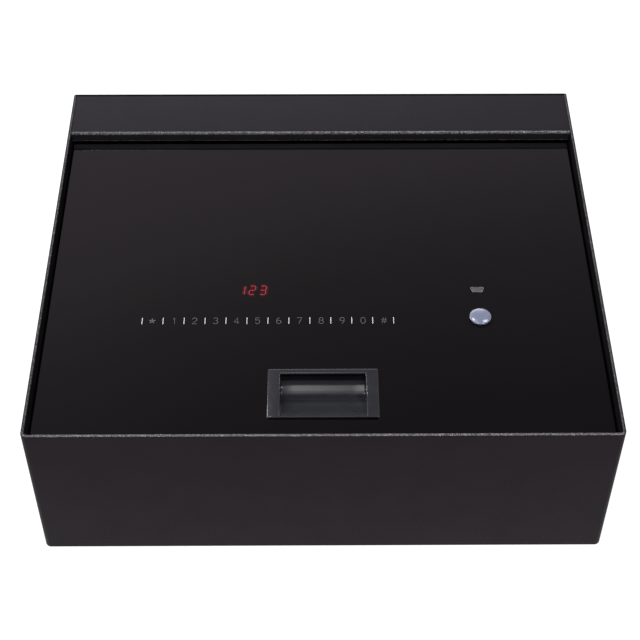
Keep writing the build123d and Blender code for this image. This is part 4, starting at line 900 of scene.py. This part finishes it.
screws = {"head": 3.0, "deep": 2.0, "shank": 1.48, "steps": 48,
          "tipShare": 0.6, "tipLength": 0.6,  # the shank narrows to this share over this length
          "seatCut": 0.1, "crownIn": 0.8, "crownDown": 0.9, "crownTurns": (90, 65, 40, 15, 0),
          "cross": 1.75, "arm": 0.42, "recess": 1.1, "recessShare": 0.8, "recessTip": 0.2,
          "turnStep": 0.7,  # radians between one head's cross and the next
          # Screws on the right, mirrored to the left: x, y, seat of the head, tip
          "lid": [(33.5, -131.2, 105.6, 111.6), (46.75, -131.2, 110.5, 114.8),
                  (172.5, 38.366, 110.5, 114.8), (172.5, 48.366, 110.5, 114.8),
                  (141.0, 90.0, 109.0, 114.8), (141.0, 110.0, 109.0, 114.8),
                  (96.0, -143.0, 92.0, 114.8), (114.0, -143.0, 92.0, 114.8)],
          "cover": [(140.0, -147.0, 84.0, 114.8), (140.0, -7.0, 84.0, 114.8)]}


def crossHead(x, y, seat, tip, turn):
    # Rings from the tip down to the pan head, then a cross outline that narrows into the head.
    # The cross: in each direction the further of two bars, each as long as its end or side allows
    c = screws
    t = np.linspace(0, 2 * np.pi, c["steps"], endpoint=False)
    s, k = (np.maximum(abs(wave(t)), tiny) for wave in (np.sin, np.cos))
    cross = np.maximum(*(np.minimum(c["cross"] / a, c["arm"] / b) for a, b in ((k, s), (s, k))))
    thin, head, cut = c["shank"], c["head"], c["seatCut"]
    low = seat - c["deep"]
    floor = low + c["recess"]
    shank = [(0.0, tip), (thin * c["tipShare"], tip), (thin, tip - c["tipLength"]), (thin, seat)]
    pan = [(head - c["crownIn"] * (1 - math.sin(a)), low + c["crownDown"] * (1 - math.cos(a)))
           for a in np.radians(c["crownTurns"])]
    recess = [(cross, low), (cross * c["recessShare"], floor), (0.0, floor + c["recessTip"])]
    rings = shank + [(head - cut, seat), (head, seat - cut)] + pan + recess
    points = [np.column_stack([x + r * np.cos(t + turn), y + r * np.sin(t + turn), z + 0 * t])
              for r, z in rings]
    return np.concatenate(points), len(rings)


def crossScrews(name, places, node):
    points, faces = [], []
    for n, (x, y, seat, tip) in enumerate(places + [(-x, y, seat, tip) for x, y, seat, tip in places]):
        made, rings = crossHead(x, y, seat, tip, screws["turnStep"] * n)
        faces += gridFaces(rings, screws["steps"], closeColumns=True, start=sum(len(p) for p in points))
        points.append(made)
    place(name, np.concatenate(points), faces, finishes["zinc_steel"], "lid", "zinc_steel", [node])


makeCamera()
makeSky()
makeBoxes()
makeFloor()
bpy.context.scene.view_settings.view_transform = "Standard"
dressNodes()
print("studio and finishes ready")
caseWalls()
coverStrip()
floorMat()
print("case ready")
pullHandle()
keyholeCap()
keyPrint()
displayPrint()
portFace()
glassBorder()
roundCells()
crossScrews("lidScrews", screws["lid"], "lid_screws")
crossScrews("coverScrews", screws["cover"], "cover_screws")
print("lid ready")
